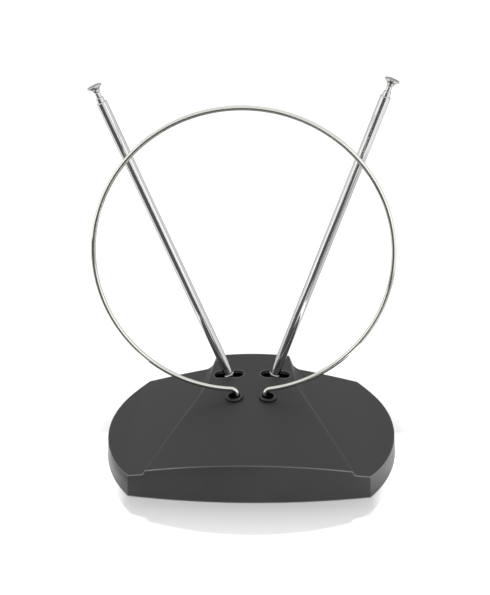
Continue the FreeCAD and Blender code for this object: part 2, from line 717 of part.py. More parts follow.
def bottom_cover():
    floor = outline_block(
        "floor", "Sizes.wall + Sizes.cover_gap", "Sizes.floor_low", "Sizes.floor_thickness"
    )
    inner = "Sizes.floor_low + Sizes.floor_thickness - Sizes.post_root"
    solids = [floor]
    solids += four_corners(
        "well", "Sizes.well_radius", f"Sizes.cover_boss_top - ({inner})", inner
    )
    holes = four_corners("well_bore", "Sizes.well_bore", "Sizes.well_depth", "Sizes.floor_low")
    holes += four_corners("well_hole", "Sizes.clear_hole", "Sizes.cut_length", "0")
    bracket_floor = "Sizes.pivot_z - Sizes.bracket_drop - Sizes.sheet"
    board = "Sizes.board_low"
    ballast_top = "Sizes.floor_low + Sizes.floor_thickness + Sizes.ballast_thickness"
    peg_top = f"{ballast_top} - Sizes.peg_short"
    posts = [
        ("Sizes.ballast_peg_x", "Sizes.ballast_y", peg_top, "Sizes.peg_radius", True),
        ("Sizes.board_post_x", "Sizes.board_y", board, "Sizes.post_radius", True),
        (
            "(Sizes.pivot_x + Sizes.bracket_screw_x)",
            "Sizes.rod_y",
            bracket_floor,
            "Sizes.post_radius",
            True,
        ),
        ("Sizes.bracket_rest_x", "Sizes.rod_y", bracket_floor, "Sizes.peg_radius", False),
    ]
    for side in ("", "-"):
        for x, y, top, radius, drilled in posts:
            at = (f"{side}{x}", y, inner)
            solids.append(cylinder("post", radius, f"{top} - ({inner})", at))
            if drilled:
                low = (f"{side}{x}", y, "Sizes.floor_low + Sizes.post_floor")
                holes.append(cylinder("post_hole", "Sizes.screw_hole", "Sizes.cut_length", low))
    recess = new_body("pad_recess")
    rounded_plate(recess, "Sizes.pad_gap", "Sizes.pad_thickness")
    holes.append(recess)
    solid = fuse_of("floor_solid", solids)
    return labelled(cut_of("bottom_cover", solid, fuse_of("floor_cuts", holes)), "bottom_cover")


def rounded_plate(body, play, thickness):
    """The rubber pad's outline, larger all round by the play, standing on the table."""
    half_width = f"Sizes.pad_half_width + {play}"
    half_depth = f"Sizes.pad_half_depth + {play}"
    left = f"-({half_width})"
    front = f"-({half_depth})"
    extrude(body, "Pad", rectangle(body, "XY_Plane", left, front, half_width, half_depth), thickness)
    doc.recompute()
    upright = [
        f"Edge{index}"
        for index, edge in enumerate(body.Shape.Edges, start=1)
        if edge.BoundBox.ZLength > SAME_PLACE
    ]
    round_edges(body, upright, f"Sizes.pad_corner + {play}")


def rubber_pad():
    body = new_body("rubber_pad")
    rounded_plate(body, "0", "Sizes.pad_thickness")
    return body


def screw(label, length, placement):
    """A pan head screw: its head starts at the body's origin and its shank points along +Z."""
    head = "Sizes.screw_head"
    tall = "Sizes.screw_head_height"
    end = f"{tall} + {length}"
    outline = [
        ("0", "Sizes.drive_depth"),
        ("Sizes.drive_radius", "Sizes.drive_depth"),
        ("Sizes.drive_radius", "0"),
        (f"{head} - Sizes.screw_head_round", "0"),
        (head, "Sizes.screw_head_round"),
        (head, tall),
        ("Sizes.screw_radius", tall),
        ("Sizes.screw_radius", f"{end} - Sizes.screw_point"),
        ("Sizes.screw_radius - Sizes.screw_point", end),
        ("0", end),
    ]
    return turned(label, outline, placement)


def screws():
    """Every screw of the base, upwards into the covers and downwards into the posts."""
    made = []
    down = Rotation(X_AXIS, 180)
    head = size("screw_head_height")
    floor_top = size("floor_low") + size("floor_thickness")
    corner = size("floor_low") + size("well_depth") - head
    number = 0
    for across in (-1, 1):
        for along in (-1, 1):
            number += 1
            at = Vector(across * size("cover_screw_x"), along * size("cover_screw_y"), corner)
            placement = Placement(at, Rotation())
            made.append(screw(f"cover_screw_{number}", "Sizes.cover_screw_length", placement))
    downwards = [
        ("ballast_screw", "ballast_peg_x", "ballast_y", floor_top + size("ballast_thickness")),
        ("board_screw", "board_post_x", "board_y", size("board_low") + size("board_thickness")),
    ]
    for name, x, y, top in downwards:
        for side, sign in SIDES:
            placement = Placement(Vector(sign * size(x), size(y), top + head), down)
            made.append(screw(f"{name}_{side}", f"Sizes.{name}_length", placement))
    for side, sign in SIDES:
        x = size("pivot_x") + size("bracket_screw_x")
        z = size("pivot_z") - size("bracket_drop") + head
        placement = Placement(Vector(sign * x, size("rod_y"), z), down)
        made.append(screw(f"bracket_screw_{side}", "Sizes.bracket_screw_length", placement))
    return made


def plate_with_holes(label, width, depth, height, centre, hole_x, hole_radius):
    plate = box(f"{label}_blank", width, depth, height, centre)
    holes = []
    for side in ("", "-"):
        at = (f"{side}{hole_x}", centre[1], f"{centre[2]} - Sizes.cut_margin")
        length = f"{height} + 2 * Sizes.cut_margin"
        holes.append(cylinder(f"{label}_hole", hole_radius, length, at))
    return labelled(cut_of(label, plate, fuse_of(f"{label}_holes", holes)), label)


def ballast_weight():
    centre = ("0", "Sizes.ballast_y", "Sizes.floor_low + Sizes.floor_thickness")
    return plate_with_holes(
        "ballast_weight",
        "2 * Sizes.ballast_half_width",
        "2 * Sizes.ballast_half_depth",
        "Sizes.ballast_thickness",
        centre,
        "Sizes.ballast_peg_x",
        "Sizes.peg_radius + Sizes.peg_gap",
    )


# ---------------------------------------------------------------- base: balun and the jack

def circuit_board():
    return plate_with_holes(
        "circuit_board",
        "2 * Sizes.board_half_width",
        "2 * Sizes.board_half_depth",
        "Sizes.board_thickness",
        ("0", "Sizes.board_y", "Sizes.board_low"),
        "Sizes.board_post_x",
        "Sizes.clear_hole",
    )


def core_centre():
    top = size("board_low") + size("board_thickness")
    return Vector(0, size("core_y"), top + size("core_lift"))


def balun_core():
    outline = [
        ("Sizes.core_bore", "0"),
        ("Sizes.core_radius", "0"),
        ("Sizes.core_radius", "Sizes.core_height"),
        ("Sizes.core_bore", "Sizes.core_height"),
    ]
    return turned("balun_core", outline, Placement(core_centre(), Rotation()))


def balun_winding():
    """Separate turns round the ferrite ring."""
    turns = []
    middle = value("(Sizes.core_radius + Sizes.core_bore) / 2")
    for number in range(TURNS):
        around = math.radians(360 * number / TURNS)
        outward = Vector(math.cos(around), math.sin(around), 0)
        along = Vector(-math.sin(around), math.cos(around), 0)
        turn = doc.addObject("Part::Torus", "turn")
        bind(turn, Radius1="Sizes.turn_radius", Radius2="Sizes.winding_wire")
        centre = core_centre() + outward * middle + Z_AXIS * value("Sizes.core_height / 2")
        turn.Placement = Placement(centre, Rotation(Z_AXIS, along))
        turns.append(turn)
    winding = doc.addObject("Part::Compound", "balun_winding")
    winding.Links = turns
    return labelled(winding, "balun_winding")


def jack_frame():
    """The jack's own Z axis is the antenna's +Y, so heights along it are depths."""
    return Placement(Vector(0, 0, size("jack_height")), Rotation(Z_AXIS, Y_AXIS))


def coax_jack():
    seat = "Sizes.jack_boss_front"
    back = f"{seat} - Sizes.jack_flange_thickness"
    nut_end = "Sizes.jack_seat + Sizes.washer_thickness + Sizes.nut_thickness"
    outline = [
        ("Sizes.jack_bore", back),
        ("Sizes.jack_flange", back),
        ("Sizes.jack_flange", seat),
        ("Sizes.jack_neck", seat),
        ("Sizes.jack_neck", f"{nut_end} + Sizes.jack_neck_spare"),
        ("Sizes.jack_thread", f"{nut_end} + Sizes.jack_neck_spare"),
        ("Sizes.jack_thread", "Sizes.jack_end - Sizes.jack_chamfer"),
        ("Sizes.jack_thread - Sizes.jack_chamfer", "Sizes.jack_end"),
        ("Sizes.jack_bore", "Sizes.jack_end"),
    ]
    return turned("coax_jack", outline, jack_frame())


def jack_insulator():
    mouth = "Sizes.jack_end - Sizes.insulator_drop"
    inside = f"{mouth} - Sizes.insulator_face"
    outer = "Sizes.jack_bore - Sizes.snug_gap"
    entry = "Sizes.contact_bore + Sizes.seat_gap"
    back = "Sizes.jack_boss_front - Sizes.jack_flange_thickness + Sizes.insulator_back"
    outline = [
        ("Sizes.contact_radius", back),
        (outer, back),
        (outer, mouth),
        (entry, mouth),
        (entry, inside),
        ("Sizes.contact_radius", inside),
    ]
    return turned("jack_insulator", outline, jack_frame())


def jack_contact():
    back = "Sizes.jack_boss_front - Sizes.contact_tail"
    mouth = "Sizes.jack_end - Sizes.contact_drop"
    outer = "Sizes.contact_radius - Sizes.snug_gap"
    outline = [
        ("0", back),
        (outer, back),
        (outer, mouth),
        ("Sizes.contact_bore", mouth),
        ("Sizes.contact_bore", f"{mouth} - Sizes.contact_depth"),
        ("0", f"{mouth} - Sizes.contact_depth"),
    ]
    return turned("jack_contact", outline, jack_frame())


def jack_washer():
    outer_end = "Sizes.jack_seat + Sizes.washer_thickness"
    hole = "Sizes.jack_thread + Sizes.snug_gap"
    outline = [
        (hole, "Sizes.jack_seat"),
        ("Sizes.jack_flange", "Sizes.jack_seat"),
        ("Sizes.jack_flange", outer_end),
        (hole, outer_end),
    ]
    return turned("jack_washer", outline, jack_frame())


def jack_nut():
    body = new_body("jack_nut", jack_frame())
    across = "Sizes.nut_across_flats / cos(30)"
    corners = []
    for corner in range(6):
        angle = 60 * corner
        corners.append((f"{across} / 2 * cos({angle})", f"{across} / 2 * sin({angle})"))
    low = "Sizes.jack_seat + Sizes.washer_thickness"
    extrude(body, "Pad", polygon(body, "XY_Plane", corners, offset=low), "Sizes.nut_thickness")
    hole = [("0", "0", "Sizes.jack_thread + Sizes.snug_gap")]
    cut_through(body, circles(body, "XY_Plane", hole))
    return body


def bend(centre, start_angle):
    """A quarter turn of a lead in the plane of its path."""
    start = math.radians(start_angle)
    return arc_between(Vector(*centre, 0), size("lead_bend"), start, start + math.pi / 2)


def run(start, end):
    return Part.LineSegment(Vector(*start, 0), Vector(*end, 0))


def rod_lead(side, sign):
    """From the bracket's tab, up, forwards and down to the board."""
    turn = size("lead_bend")
    foot = "Sizes.pivot_z - Sizes.bracket_drop + Sizes.snug_gap"
    low = value(foot)
    board = value("Sizes.board_low + Sizes.board_thickness + Sizes.snug_gap")
    high = board + size("lead_rise")
    rear = size("rod_y") - size("lead_rear")
    front = size("board_y") + size("lead_front")
    spine = [
        run((rear, low), (rear, high - turn)),
        bend((rear - turn, high - turn), 0),
        run((rear - turn, high), (front + turn, high)),
        bend((front + turn, high - turn), 90),
        run((front, high - turn), (front, board)),
    ]
    x = sign * (size("pivot_x") + size("lead_x"))
    placement = Placement(Vector(x, 0, 0), Rotation())
    start = ("Sizes.rod_y - Sizes.lead_rear", foot)
    label = f"rod_lead_{side}"
    return swept_wire(label, placement, "YZ_Plane", spine, start, "Sizes.lead_radius")


def jack_lead():
    """From the board up and back to the jack's contact."""
    turn = size("lead_bend")
    foot = "Sizes.board_low + Sizes.board_thickness + Sizes.snug_gap"
    board = value(foot)
    front = size("board_y") + size("jack_lead_front")
    rear = value("Sizes.jack_boss_front - Sizes.contact_tail - Sizes.snug_gap")
    axis = size("jack_height")
    spine = [
        run((front, board), (front, axis - turn)),
        bend((front + turn, axis - turn), 90),
        run((front + turn, axis), (rear, axis)),
    ]
    start = ("Sizes.board_y + Sizes.jack_lead_front", foot)
    return swept_wire(
        "jack_lead", Placement(), "YZ_Plane", spine, start, "Sizes.coax_lead_radius"
    )


# ------------------------------------------------------------------------- the wire loop

def loop_frame():
    """The loop's plane: its X axis is the antenna's, its Z axis leans back."""
    foot = Vector(0, size("loop_y"), size("loop_z"))
    return Placement(foot, Rotation(X_AXIS, -size("loop_lean")))


def loop_foot(sign, shrink):
    """One lower quarter of the loop, its bend and its leg, as edges in the loop's plane.

    The quarter is an arc tangent to the main circle where they meet, and the bend is an arc
    tangent to the quarter and to the upright leg.
    """
    meeting = Vector(sign * math.sqrt(0.5), -math.sqrt(0.5), 0)
    centre = Vector(size("loop_offset"), size("loop_rise"), 0) + meeting * shrink
    radius = size("loop_radius") - shrink
    turn = size("loop_bend")
    leg = sign * size("loop_leg_x")
    across = centre.x - (leg + sign * turn)
    drop = math.sqrt((radius + turn) ** 2 - across**2)
    bend_centre = Vector(leg + sign * turn, centre.y - drop, 0)
    inward = (centre - bend_centre).normalize()
    outer = angle_of(meeting)
    inner = angle_of(inward * -1)
    leg_angle = math.pi if sign > 0 else 0
    turned_angle = angle_of(inward)
    quarter = arc_between(centre, radius, min(outer, inner), max(outer, inner))
    corner = arc_between(
        bend_centre, turn, min(leg_angle, turned_angle), max(leg_angle, turned_angle)
    )
    low = -size("loop_leg_depth")
    return quarter, corner, run((leg, low), (leg, bend_centre.y))


def wire_loop():
    left = loop_foot(-1, size("loop_shrink_left"))
    right = loop_foot(1, size("loop_shrink_right"))
    centre = Vector(size("loop_offset"), size("loop_rise"), 0)
    main = arc_between(centre, size("loop_radius"), -math.pi / 4, 5 * math.pi / 4)
    spine = list(left)[::-1] + [main] + list(right)
    start = ("-Sizes.loop_leg_x", "-Sizes.loop_leg_depth")
    return swept_wire("wire_loop", loop_frame(), "XZ_Plane", spine, start, "Sizes.loop_wire")


def panel_frame(x, y):
    """A frame on the raised panel's top, its Z axis square to the surface."""
    crown = size("panel_crown")
    rise = math.radians(size("panel_rise"))
    fall = crown - math.sqrt(crown**2 - x**2)
    z = size("panel_height") + y * math.tan(rise) - fall / math.cos(rise)
    normal = Vector(x / crown, -math.sin(rise), math.cos(rise))
    return Placement(Vector(x, y, z), Rotation(Z_AXIS, normal))


def grommet(side, sign):
    bore = "Sizes.grommet_bore"
    hub = "Sizes.grommet_hole - Sizes.seat_gap"
    flange = "Sizes.grommet_flange"
    proud = "Sizes.grommet_proud"
    under = "-Sizes.wall - 2 * Sizes.grommet_lift"
    inner_flange = f"{flange} - Sizes.grommet_step"
    outline = [
        (bore, f"{under} - Sizes.grommet_lip"),
        (inner_flange, f"{under} - Sizes.grommet_lip"),
        (inner_flange, under),
        (hub, under),
        (hub, "Sizes.grommet_lift"),
        (flange, "Sizes.grommet_lift"),
        (flange, f"{proud} - Sizes.grommet_round"),
        (f"{flange} - Sizes.grommet_round", proud),
        (f"{bore} + Sizes.grommet_bevel", proud),
        (bore, f"{proud} - Sizes.grommet_bevel"),
    ]
    frame = panel_frame(sign * size("grommet_x"), size("grommet_y"))
    return turned(f"loop_grommet_{side}", outline, frame)


def terminal(side, sign):
    """A brass tube on the board that one leg of the loop stands in."""
    outline = [
        ("Sizes.terminal_bore", "Sizes.terminal_low"),
        ("Sizes.terminal_radius", "Sizes.terminal_low"),
        ("Sizes.terminal_radius", "Sizes.terminal_high"),
        ("Sizes.terminal_bore", "Sizes.terminal_high"),
    ]
    shift = Placement(Vector(sign * size("loop_leg_x"), 0, 0), Rotation())
    body = turned(f"loop_terminal_{side}", outline, loop_frame().multiply(shift))
    place = [("0", "Sizes.set_screw_drop", "Sizes.set_screw_radius + Sizes.snug_gap")]
    pocket = body.newObject("PartDesign::Pocket", "Pocket")
    pocket.Profile = circles(body, "XZ_Plane", place)
    pocket.Reversed = True
    bind(pocket, Length="Sizes.terminal_radius + Sizes.cut_margin")
    body.Tip = pocket
    return body


def set_screw(side, sign):
    solid = doc.addObject("Part::Cylinder", f"set_screw_{side}")
    bind(solid, Radius="Sizes.set_screw_radius", Height="Sizes.set_screw_length")
    front = -size("loop_wire") - size("snug_gap")
    start = Vector(sign * size("loop_leg_x"), front, size("set_screw_drop"))
    turn = Rotation(Z_AXIS, Y_AXIS * -1)
    solid.Placement = loop_frame().multiply(Placement(start, turn))
    return labelled(solid, f"set_screw_{side}")


# ------------------------------------------------------------------------------ the rods

def pivot_point(sign):
    return Vector(sign * size("pivot_x"), size("rod_y"), size("pivot_z"))


def rod_frame(side, sign):
    """The rod's own Z axis runs from its pivot to its tip."""
    return Placement(pivot_point(sign), Rotation(Y_AXIS, sign * size(f"lean_{side}")))


def rod_bracket(side, sign):
    """A steel clevis: two round-topped ears on a floor with a screw tab."""
    body = new_body(f"rod_bracket_{side}")
    body.Placement = Placement(pivot_point(sign), Rotation(Z_AXIS, 0 if sign > 0 else 180))
    ear = "Sizes.ear_radius"
    width = "2 * (Sizes.ear_half_gap + Sizes.sheet)"
    low = "-Sizes.bracket_drop - Sizes.sheet"
    block = rectangle(body, "XZ_Plane", f"-{ear}", low, ear, "0")
    extrude(body, "Pad", block, width, symmetric=True)
    extrude(body, "Pad", circles(body, "XZ_Plane", [("0", "0", ear)]), width, symmetric=True)
    half = "Sizes.ear_half_gap + Sizes.sheet"
    tab = rectangle(
        body, "XY_Plane", "0", f"-({half})", "Sizes.bracket_tab", half, offset=low
    )
    extrude(body, "Pad", tab, "Sizes.sheet")
    beyond = f"{ear} + Sizes.cut_margin"
    gap = rectangle(
        body, "XZ_Plane", f"-({beyond})", "-Sizes.bracket_drop", beyond, beyond
    )
    extrude(body, "Pocket", gap, "2 * Sizes.ear_half_gap", symmetric=True)
    cut_through(body, circles(body, "XZ_Plane", [("0", "0", "Sizes.pin_hole")]))
    hole = [("Sizes.bracket_screw_x", "0", "Sizes.clear_hole")]
    cut_through(body, circles(body, "XY_Plane", hole))
    return body


def pin_frame(sign):
    return Placement(pivot_point(sign), Rotation(Z_AXIS, Y_AXIS))


def pivot_pin(side, sign):
    outside = "(Sizes.ear_half_gap + Sizes.sheet + Sizes.seat_gap)"
    radius = "Sizes.pin_radius"
    head = f"{radius} + Sizes.pin_head"
    rivet = f"{radius} + Sizes.pin_rivet"
    outline = [
        ("0", f"-{outside} - Sizes.pin_head"),
        (f"{head} - Sizes.pin_head_round", f"-{outside} - Sizes.pin_head"),
        (head, f"-{outside} - Sizes.pin_head + Sizes.pin_head_round"),
        (head, f"-{outside}"),
        (radius, f"-{outside}"),
        (radius, outside),
        (rivet, outside),
        (f"{rivet} - Sizes.pin_rivet_taper", f"{outside} + Sizes.pin_rivet"),
        ("0", f"{outside} + Sizes.pin_rivet"),
    ]
    return turned(f"pivot_pin_{side}", outline, pin_frame(sign))


def spring_washer(side, sign):
    low = "Sizes.blade_half + Sizes.snug_gap"
    high = f"{low} + Sizes.spring_washer"
    hole = "Sizes.pin_hole + Sizes.snug_gap"
    edge = "Sizes.pin_hole + Sizes.spring_washer_width"
    outline = [(hole, low), (edge, low), (edge, high), (hole, high)]
    return turned(f"spring_washer_{side}", outline, pin_frame(sign))


def knuckle(side, sign):
    """A flat blade with a cross hole, under a round shoulder and the stem inside the tube."""
    body = new_body(f"knuckle_{side}", rod_frame(side, sign))
    width = "2 * Sizes.blade_half"
    disc = circles(body, "XZ_Plane", [("0", "0", "Sizes.blade_radius")])
    extrude(body, "Pad", disc, width, symmetric=True)
    neck = rectangle(
        body, "XZ_Plane", "-Sizes.shoulder_radius", "0", "Sizes.shoulder_radius",
        "Sizes.shoulder_low + Sizes.cut_margin",
    )
    extrude(body, "Pad", neck, width, symmetric=True)
    stem = "Sizes.outer_radius - Sizes.tube_wall - Sizes.snug_gap"
    outline = [
        ("0", "Sizes.shoulder_low"),
        ("Sizes.shoulder_radius", "Sizes.shoulder_low"),
        ("Sizes.shoulder_radius", "Sizes.tube_low"),
        (stem, "Sizes.tube_low"),
        (stem, "Sizes.stem_top"),
        ("0", "Sizes.stem_top"),
    ]
    spin(body, polygon(body, "XZ_Plane", outline))
    cut_through(body, circles(body, "XZ_Plane", [("0", "0", "Sizes.pin_hole")]))
    return body


def tube_rim(radius, neck, top):
    """The outside corner, the mouth and the underside of a tube's rolled rim."""
    width = f"({radius} - ({neck}))"
    rolled = [(f"{radius} - {width} * {share}", f"{top} - {drop}") for share, drop in RIM_CURVE]
    return rolled + [(neck, f"{top} - Sizes.rim")]


def outer_tube(side, sign):
    radius = "Sizes.outer_radius"
    bore = f"{radius} - Sizes.tube_wall"
    bead = "Sizes.bead_radius"
    low = "Sizes.tube_low"
    bead_top = "Sizes.tube_low + Sizes.bead_height"
    neck = "Sizes.second_radius + Sizes.slide_gap"
    outline = [
        (bore, low),
        (f"{bead} - Sizes.bead_round", low),
        (bead, f"{low} + Sizes.bead_round"),
        (bead, f"{bead_top} - Sizes.bead_round"),
        (radius, bead_top),
    ]
    outline += tube_rim(radius, neck, "Sizes.outer_top")
    outline.append((bore, "Sizes.outer_top - Sizes.rim"))
    return turned(f"outer_tube_{side}", outline, rod_frame(side, sign))


def inner_tube(name, next_radius, side, sign):
    radius = f"Sizes.{name}_radius"
    bore = f"{radius} - Sizes.tube_wall"
    low = f"Sizes.{name}_low"
    top = f"Sizes.{name}_top"
    outline = [(bore, low), (radius, low)]
    outline += tube_rim(radius, f"{next_radius} + Sizes.slide_gap", top)
    outline.append((bore, f"{top} - Sizes.rim"))
    return turned(f"{name}_tube_{side}", outline, rod_frame(side, sign))


def sleeve(name, inner, outer_tube_radius, side, sign):
    """A split brass sleeve on the foot of a sliding stage, running inside the next tube."""
    low = f"Sizes.{name}_low"
    top = f"{low} + Sizes.sleeve_height"
    outer = f"{outer_tube_radius} - Sizes.tube_wall - Sizes.slide_gap"
    outline = [
        (inner, low),
        (f"{outer} - Sizes.sleeve_taper", low),
        (outer, f"{low} + Sizes.sleeve_lead"),
        (outer, f"{top} - Sizes.sleeve_lead"),
        (f"{outer} - Sizes.sleeve_taper", top),
        (inner, top),
    ]
    body = turned(f"{name}_sleeve_{side}", outline, rod_frame(side, sign))
    slit = rectangle(
        body, "XY_Plane", "0", "-Sizes.sleeve_slit / 2", "Sizes.outer_radius",
        "Sizes.sleeve_slit / 2",
    )
    cut_through(body, slit)
    return body


def tip_rod(side, sign):
    solid = doc.addObject("Part::Cylinder", f"tip_rod_{side}")
    length = "Sizes.knob_low + Sizes.knob_grip - Sizes.tip_low"
    bind(solid, Radius="Sizes.tip_radius", Height=length)
    foot = Placement(Vector(0, 0, size("tip_low")), Rotation())
    solid.Placement = rod_frame(side, sign).multiply(foot)
    return labelled(solid, f"tip_rod_{side}")


def tip_knob(side, sign):
    low = "Sizes.knob_low"
    top = f"{low} + Sizes.knob_height"
    collar = "Sizes.knob_collar"
    disc = "Sizes.knob_radius"
    hole = "Sizes.tip_radius + Sizes.press_gap"
    hole_end = f"{low} + Sizes.knob_grip + Sizes.seat_gap"
    outline = [
        ("0", hole_end),
        (hole, hole_end),
        (hole, low),
        (f"{collar} - Sizes.knob_collar_round", low),
        (collar, f"{low} + Sizes.knob_collar_round"),
        (collar, f"{low} + Sizes.knob_collar_height"),
    ]
    for share, height in KNOB_FLARE:
        outline.append((f"{collar} + ({disc} - {collar}) * {share}", f"{low} + {height}"))
    for inwards, drop in KNOB_CROWN:
        outline.append((f"{disc} - {inwards}", f"{top} - {drop}"))
    outline.append(("0", top))
    return turned(f"tip_knob_{side}", outline, rod_frame(side, sign))


def rod(side, sign):
    """Everything that one rod adds: its clevis in the base and its telescope."""
    return [
        rod_bracket(side, sign),
        pivot_pin(side, sign),
        spring_washer(side, sign),
        rod_lead(side, sign),
        knuckle(side, sign),
        outer_tube(side, sign),
        inner_tube("second", "Sizes.third_radius", side, sign),
        sleeve("second", "Sizes.second_radius", "Sizes.outer_radius", side, sign),
        inner_tube("third", "Sizes.tip_radius", side, sign),
        sleeve("third", "Sizes.third_radius", "Sizes.second_radius", side, sign),
        tip_rod(side, sign),
        sleeve("tip", "Sizes.tip_radius", "Sizes.third_radius", side, sign),
        tip_knob(side, sign),
    ]


# ---------------------------------------------------------------------------- the antenna

def antenna():
    pieces = [top_cover(), bottom_cover(), rubber_pad(), ballast_weight(), circuit_board()]
    pieces += screws()
    pieces += [balun_core(), balun_winding(), wire_loop()]
    pieces += [coax_jack(), jack_insulator(), jack_contact(), jack_washer(), jack_nut()]
    pieces.append(jack_lead())
    for side, sign in SIDES:
        pieces += [grommet(side, sign), terminal(side, sign), set_screw(side, sign)]
        pieces += rod(side, sign)
    return pieces


def check(pieces):
    """Stop if any object failed or any piece has no sound solid."""
    failed = [
        item.Name for item in doc.Objects if "Invalid" in item.State or "Error" in item.State
    ]
    if failed:
        raise RuntimeError(f"objects that failed: {failed}")
    for piece in pieces:
        shape = piece.Shape
        if shape.isNull() or not shape.isValid() or not shape.Solids:
            raise RuntimeError(f"{piece.Label} has no valid solid")


def write(pieces):
    os.makedirs("parts", exist_ok=True)
    for piece in pieces:
        piece.Shape.exportStep(os.path.join("parts", f"{piece.Label}.step"))
        print(f"{piece.Label}: {piece.Shape.Volume:.0f} mm3, {len(piece.Shape.Solids)} solid(s)")


PIECES = antenna()
doc.recompute()
check(PIECES)
write(PIECES)
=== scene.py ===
import math

import bmesh
import bpy
from mathutils import Matrix, Vector


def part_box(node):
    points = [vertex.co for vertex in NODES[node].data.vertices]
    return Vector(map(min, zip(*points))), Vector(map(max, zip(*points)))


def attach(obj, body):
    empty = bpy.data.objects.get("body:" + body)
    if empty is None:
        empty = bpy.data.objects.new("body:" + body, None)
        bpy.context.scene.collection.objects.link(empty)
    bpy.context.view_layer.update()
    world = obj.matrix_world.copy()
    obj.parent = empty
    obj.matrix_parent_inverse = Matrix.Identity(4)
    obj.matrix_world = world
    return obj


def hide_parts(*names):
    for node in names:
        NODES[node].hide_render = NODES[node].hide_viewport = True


# Indoor television antenna: materials, small visual details, light and camera around the CAD frame.
# Metres, in the frame's own axes: +Z up, -Y front.

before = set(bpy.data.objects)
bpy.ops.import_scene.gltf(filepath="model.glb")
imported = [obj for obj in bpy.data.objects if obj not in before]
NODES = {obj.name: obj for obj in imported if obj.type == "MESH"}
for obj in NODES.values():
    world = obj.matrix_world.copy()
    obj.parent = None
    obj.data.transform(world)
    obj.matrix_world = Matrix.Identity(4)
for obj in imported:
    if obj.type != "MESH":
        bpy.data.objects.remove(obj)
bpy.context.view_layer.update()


# ------------------------------------------------------------------ shader helpers

# Ranges of a unit normal over which a wall becomes an edge, an edge a roof, and a front a side.
WALL_NORMAL_Z = (0.2, 0.4)
ROOF_NORMAL_Z = (0.88, 0.97)
FRONT_NORMAL_Y = (-0.3, -0.18)

class Shader:
    """A node material with one Principled BSDF."""

    def __init__(self, name, **sockets):
        self.material = bpy.data.materials.new(name)
        self.material.use_nodes = True
        self.tree = self.material.node_tree
        self.tree.nodes.clear()
        self.output = self.tree.nodes.new("ShaderNodeOutputMaterial")
        self.bsdf = self.tree.nodes.new("ShaderNodeBsdfPrincipled")
        self.tree.links.new(self.bsdf.outputs["BSDF"], self.output.inputs["Surface"])
        for socket, number in sockets.items():
            self.bsdf.inputs[socket.replace("_", " ")].default_value = number
        self.coords = self.tree.nodes.new("ShaderNodeTexCoord").outputs["Object"]

    def node(self, kind, **settings):
        made = self.tree.nodes.new(kind)
        for name, setting in settings.items():
            setattr(made, name, setting)
        return made

    def link(self, source, target):
        self.tree.links.new(source, target)

    def split(self, vector):
        """The X, Y and Z of a vector, by name."""
        made = self.node("ShaderNodeSeparateXYZ")
        self.link(vector, made.inputs["Vector"])
        return made.outputs

    def noise(self, scale, detail=3.0, vector=None, rough=0.55):
        made = self.node("ShaderNodeTexNoise")
        made.inputs["Scale"].default_value = scale
        made.inputs["Detail"].default_value = detail
        made.inputs["Roughness"].default_value = rough
        self.link(vector or self.coords, made.inputs["Vector"])
        return made.outputs["Fac"]

    def ranged(self, source, low, high, to_low, to_high):
        made = self.node("ShaderNodeMapRange")
        for index, number in enumerate((low, high, to_low, to_high), start=1):
            made.inputs[index].default_value = number
        self.link(source, made.inputs["Value"])
        return made.outputs["Result"]

    def mixed(self, factor, first, second):
        """Two colours, each a tuple or a socket, mixed by a factor."""
        made = self.node("ShaderNodeMix", data_type="RGBA")
        self.link(factor, made.inputs["Factor"])
        for socket, colour in ((made.inputs["A"], first), (made.inputs["B"], second)):
            if isinstance(colour, tuple):
                socket.default_value = (*colour, 1.0)
            else:
                self.link(colour, socket)
        return made.outputs["Result"]

    def math(self, operation, first, second):
        made = self.node("ShaderNodeMath", operation=operation)
        for socket, term in zip(made.inputs, (first, second)):
            if isinstance(term, (int, float)):
                socket.default_value = term
            else:
                self.link(term, socket)
        return made.outputs["Value"]

    def edges(self, radius, gain):
        """About 1 on edges sharper than the radius, and 0 elsewhere."""
        bevel = self.node("ShaderNodeBevel", samples=6)
        bevel.inputs["Radius"].default_value = radius
        flat = self.node("ShaderNodeNewGeometry")
        turn = self.node("ShaderNodeVectorMath", operation="DOT_PRODUCT")
        self.link(bevel.outputs["Normal"], turn.inputs[0])
        self.link(flat.outputs["Normal"], turn.inputs[1])
        sharp = self.math("SUBTRACT", 1.0, turn.outputs["Value"])
        made = self.node("ShaderNodeMath", operation="MULTIPLY", use_clamp=True)
        self.link(sharp, made.inputs[0])
        made.inputs[1].default_value = gain
        return made.outputs["Value"]

    def front_outline(self):
        """1 on the round edge between a roof and a front wall, and 0 elsewhere."""
        normal = self.split(self.node("ShaderNodeNewGeometry").outputs["Normal"])
        above_wall = self.ranged(normal["Z"], *WALL_NORMAL_Z, 0.0, 1.0)
        below_roof = self.ranged(normal["Z"], *ROOF_NORMAL_Z, 1.0, 0.0)
        frontwards = self.ranged(normal["Y"], *FRONT_NORMAL_Y, 1.0, 0.0)
        band = self.math("MULTIPLY", above_wall, below_roof)
        return self.math("MULTIPLY", band, frontwards)

    def colour(self, source):
        self.link(source, self.bsdf.inputs["Base Color"])

    def roughness(self, source):
        self.link(source, self.bsdf.inputs["Roughness"])

    def bump(self, source, strength, distance):
        made = self.node("ShaderNodeBump")
        made.inputs["Strength"].default_value = strength
        made.inputs["Distance"].default_value = distance
        self.link(source, made.inputs["Height"])
        self.link(made.outputs["Normal"], self.bsdf.inputs["Normal"])


# Painted highlight on the plastic's sharp edges and creases, standing in for their rounding
# catching the light: its width, gain, and strength from front to rear and along the front outline.
HIGHLIGHT_WIDTH = 0.0016
HIGHLIGHT_GAIN = 2.4
CREASE_Y = (-0.05, 0.05)
CREASE_HIGHLIGHT = (0.75, 1.9)
OUTLINE_X = (0.02, 0.062)
OUTLINE_HIGHLIGHT = (0.5, 1.0)


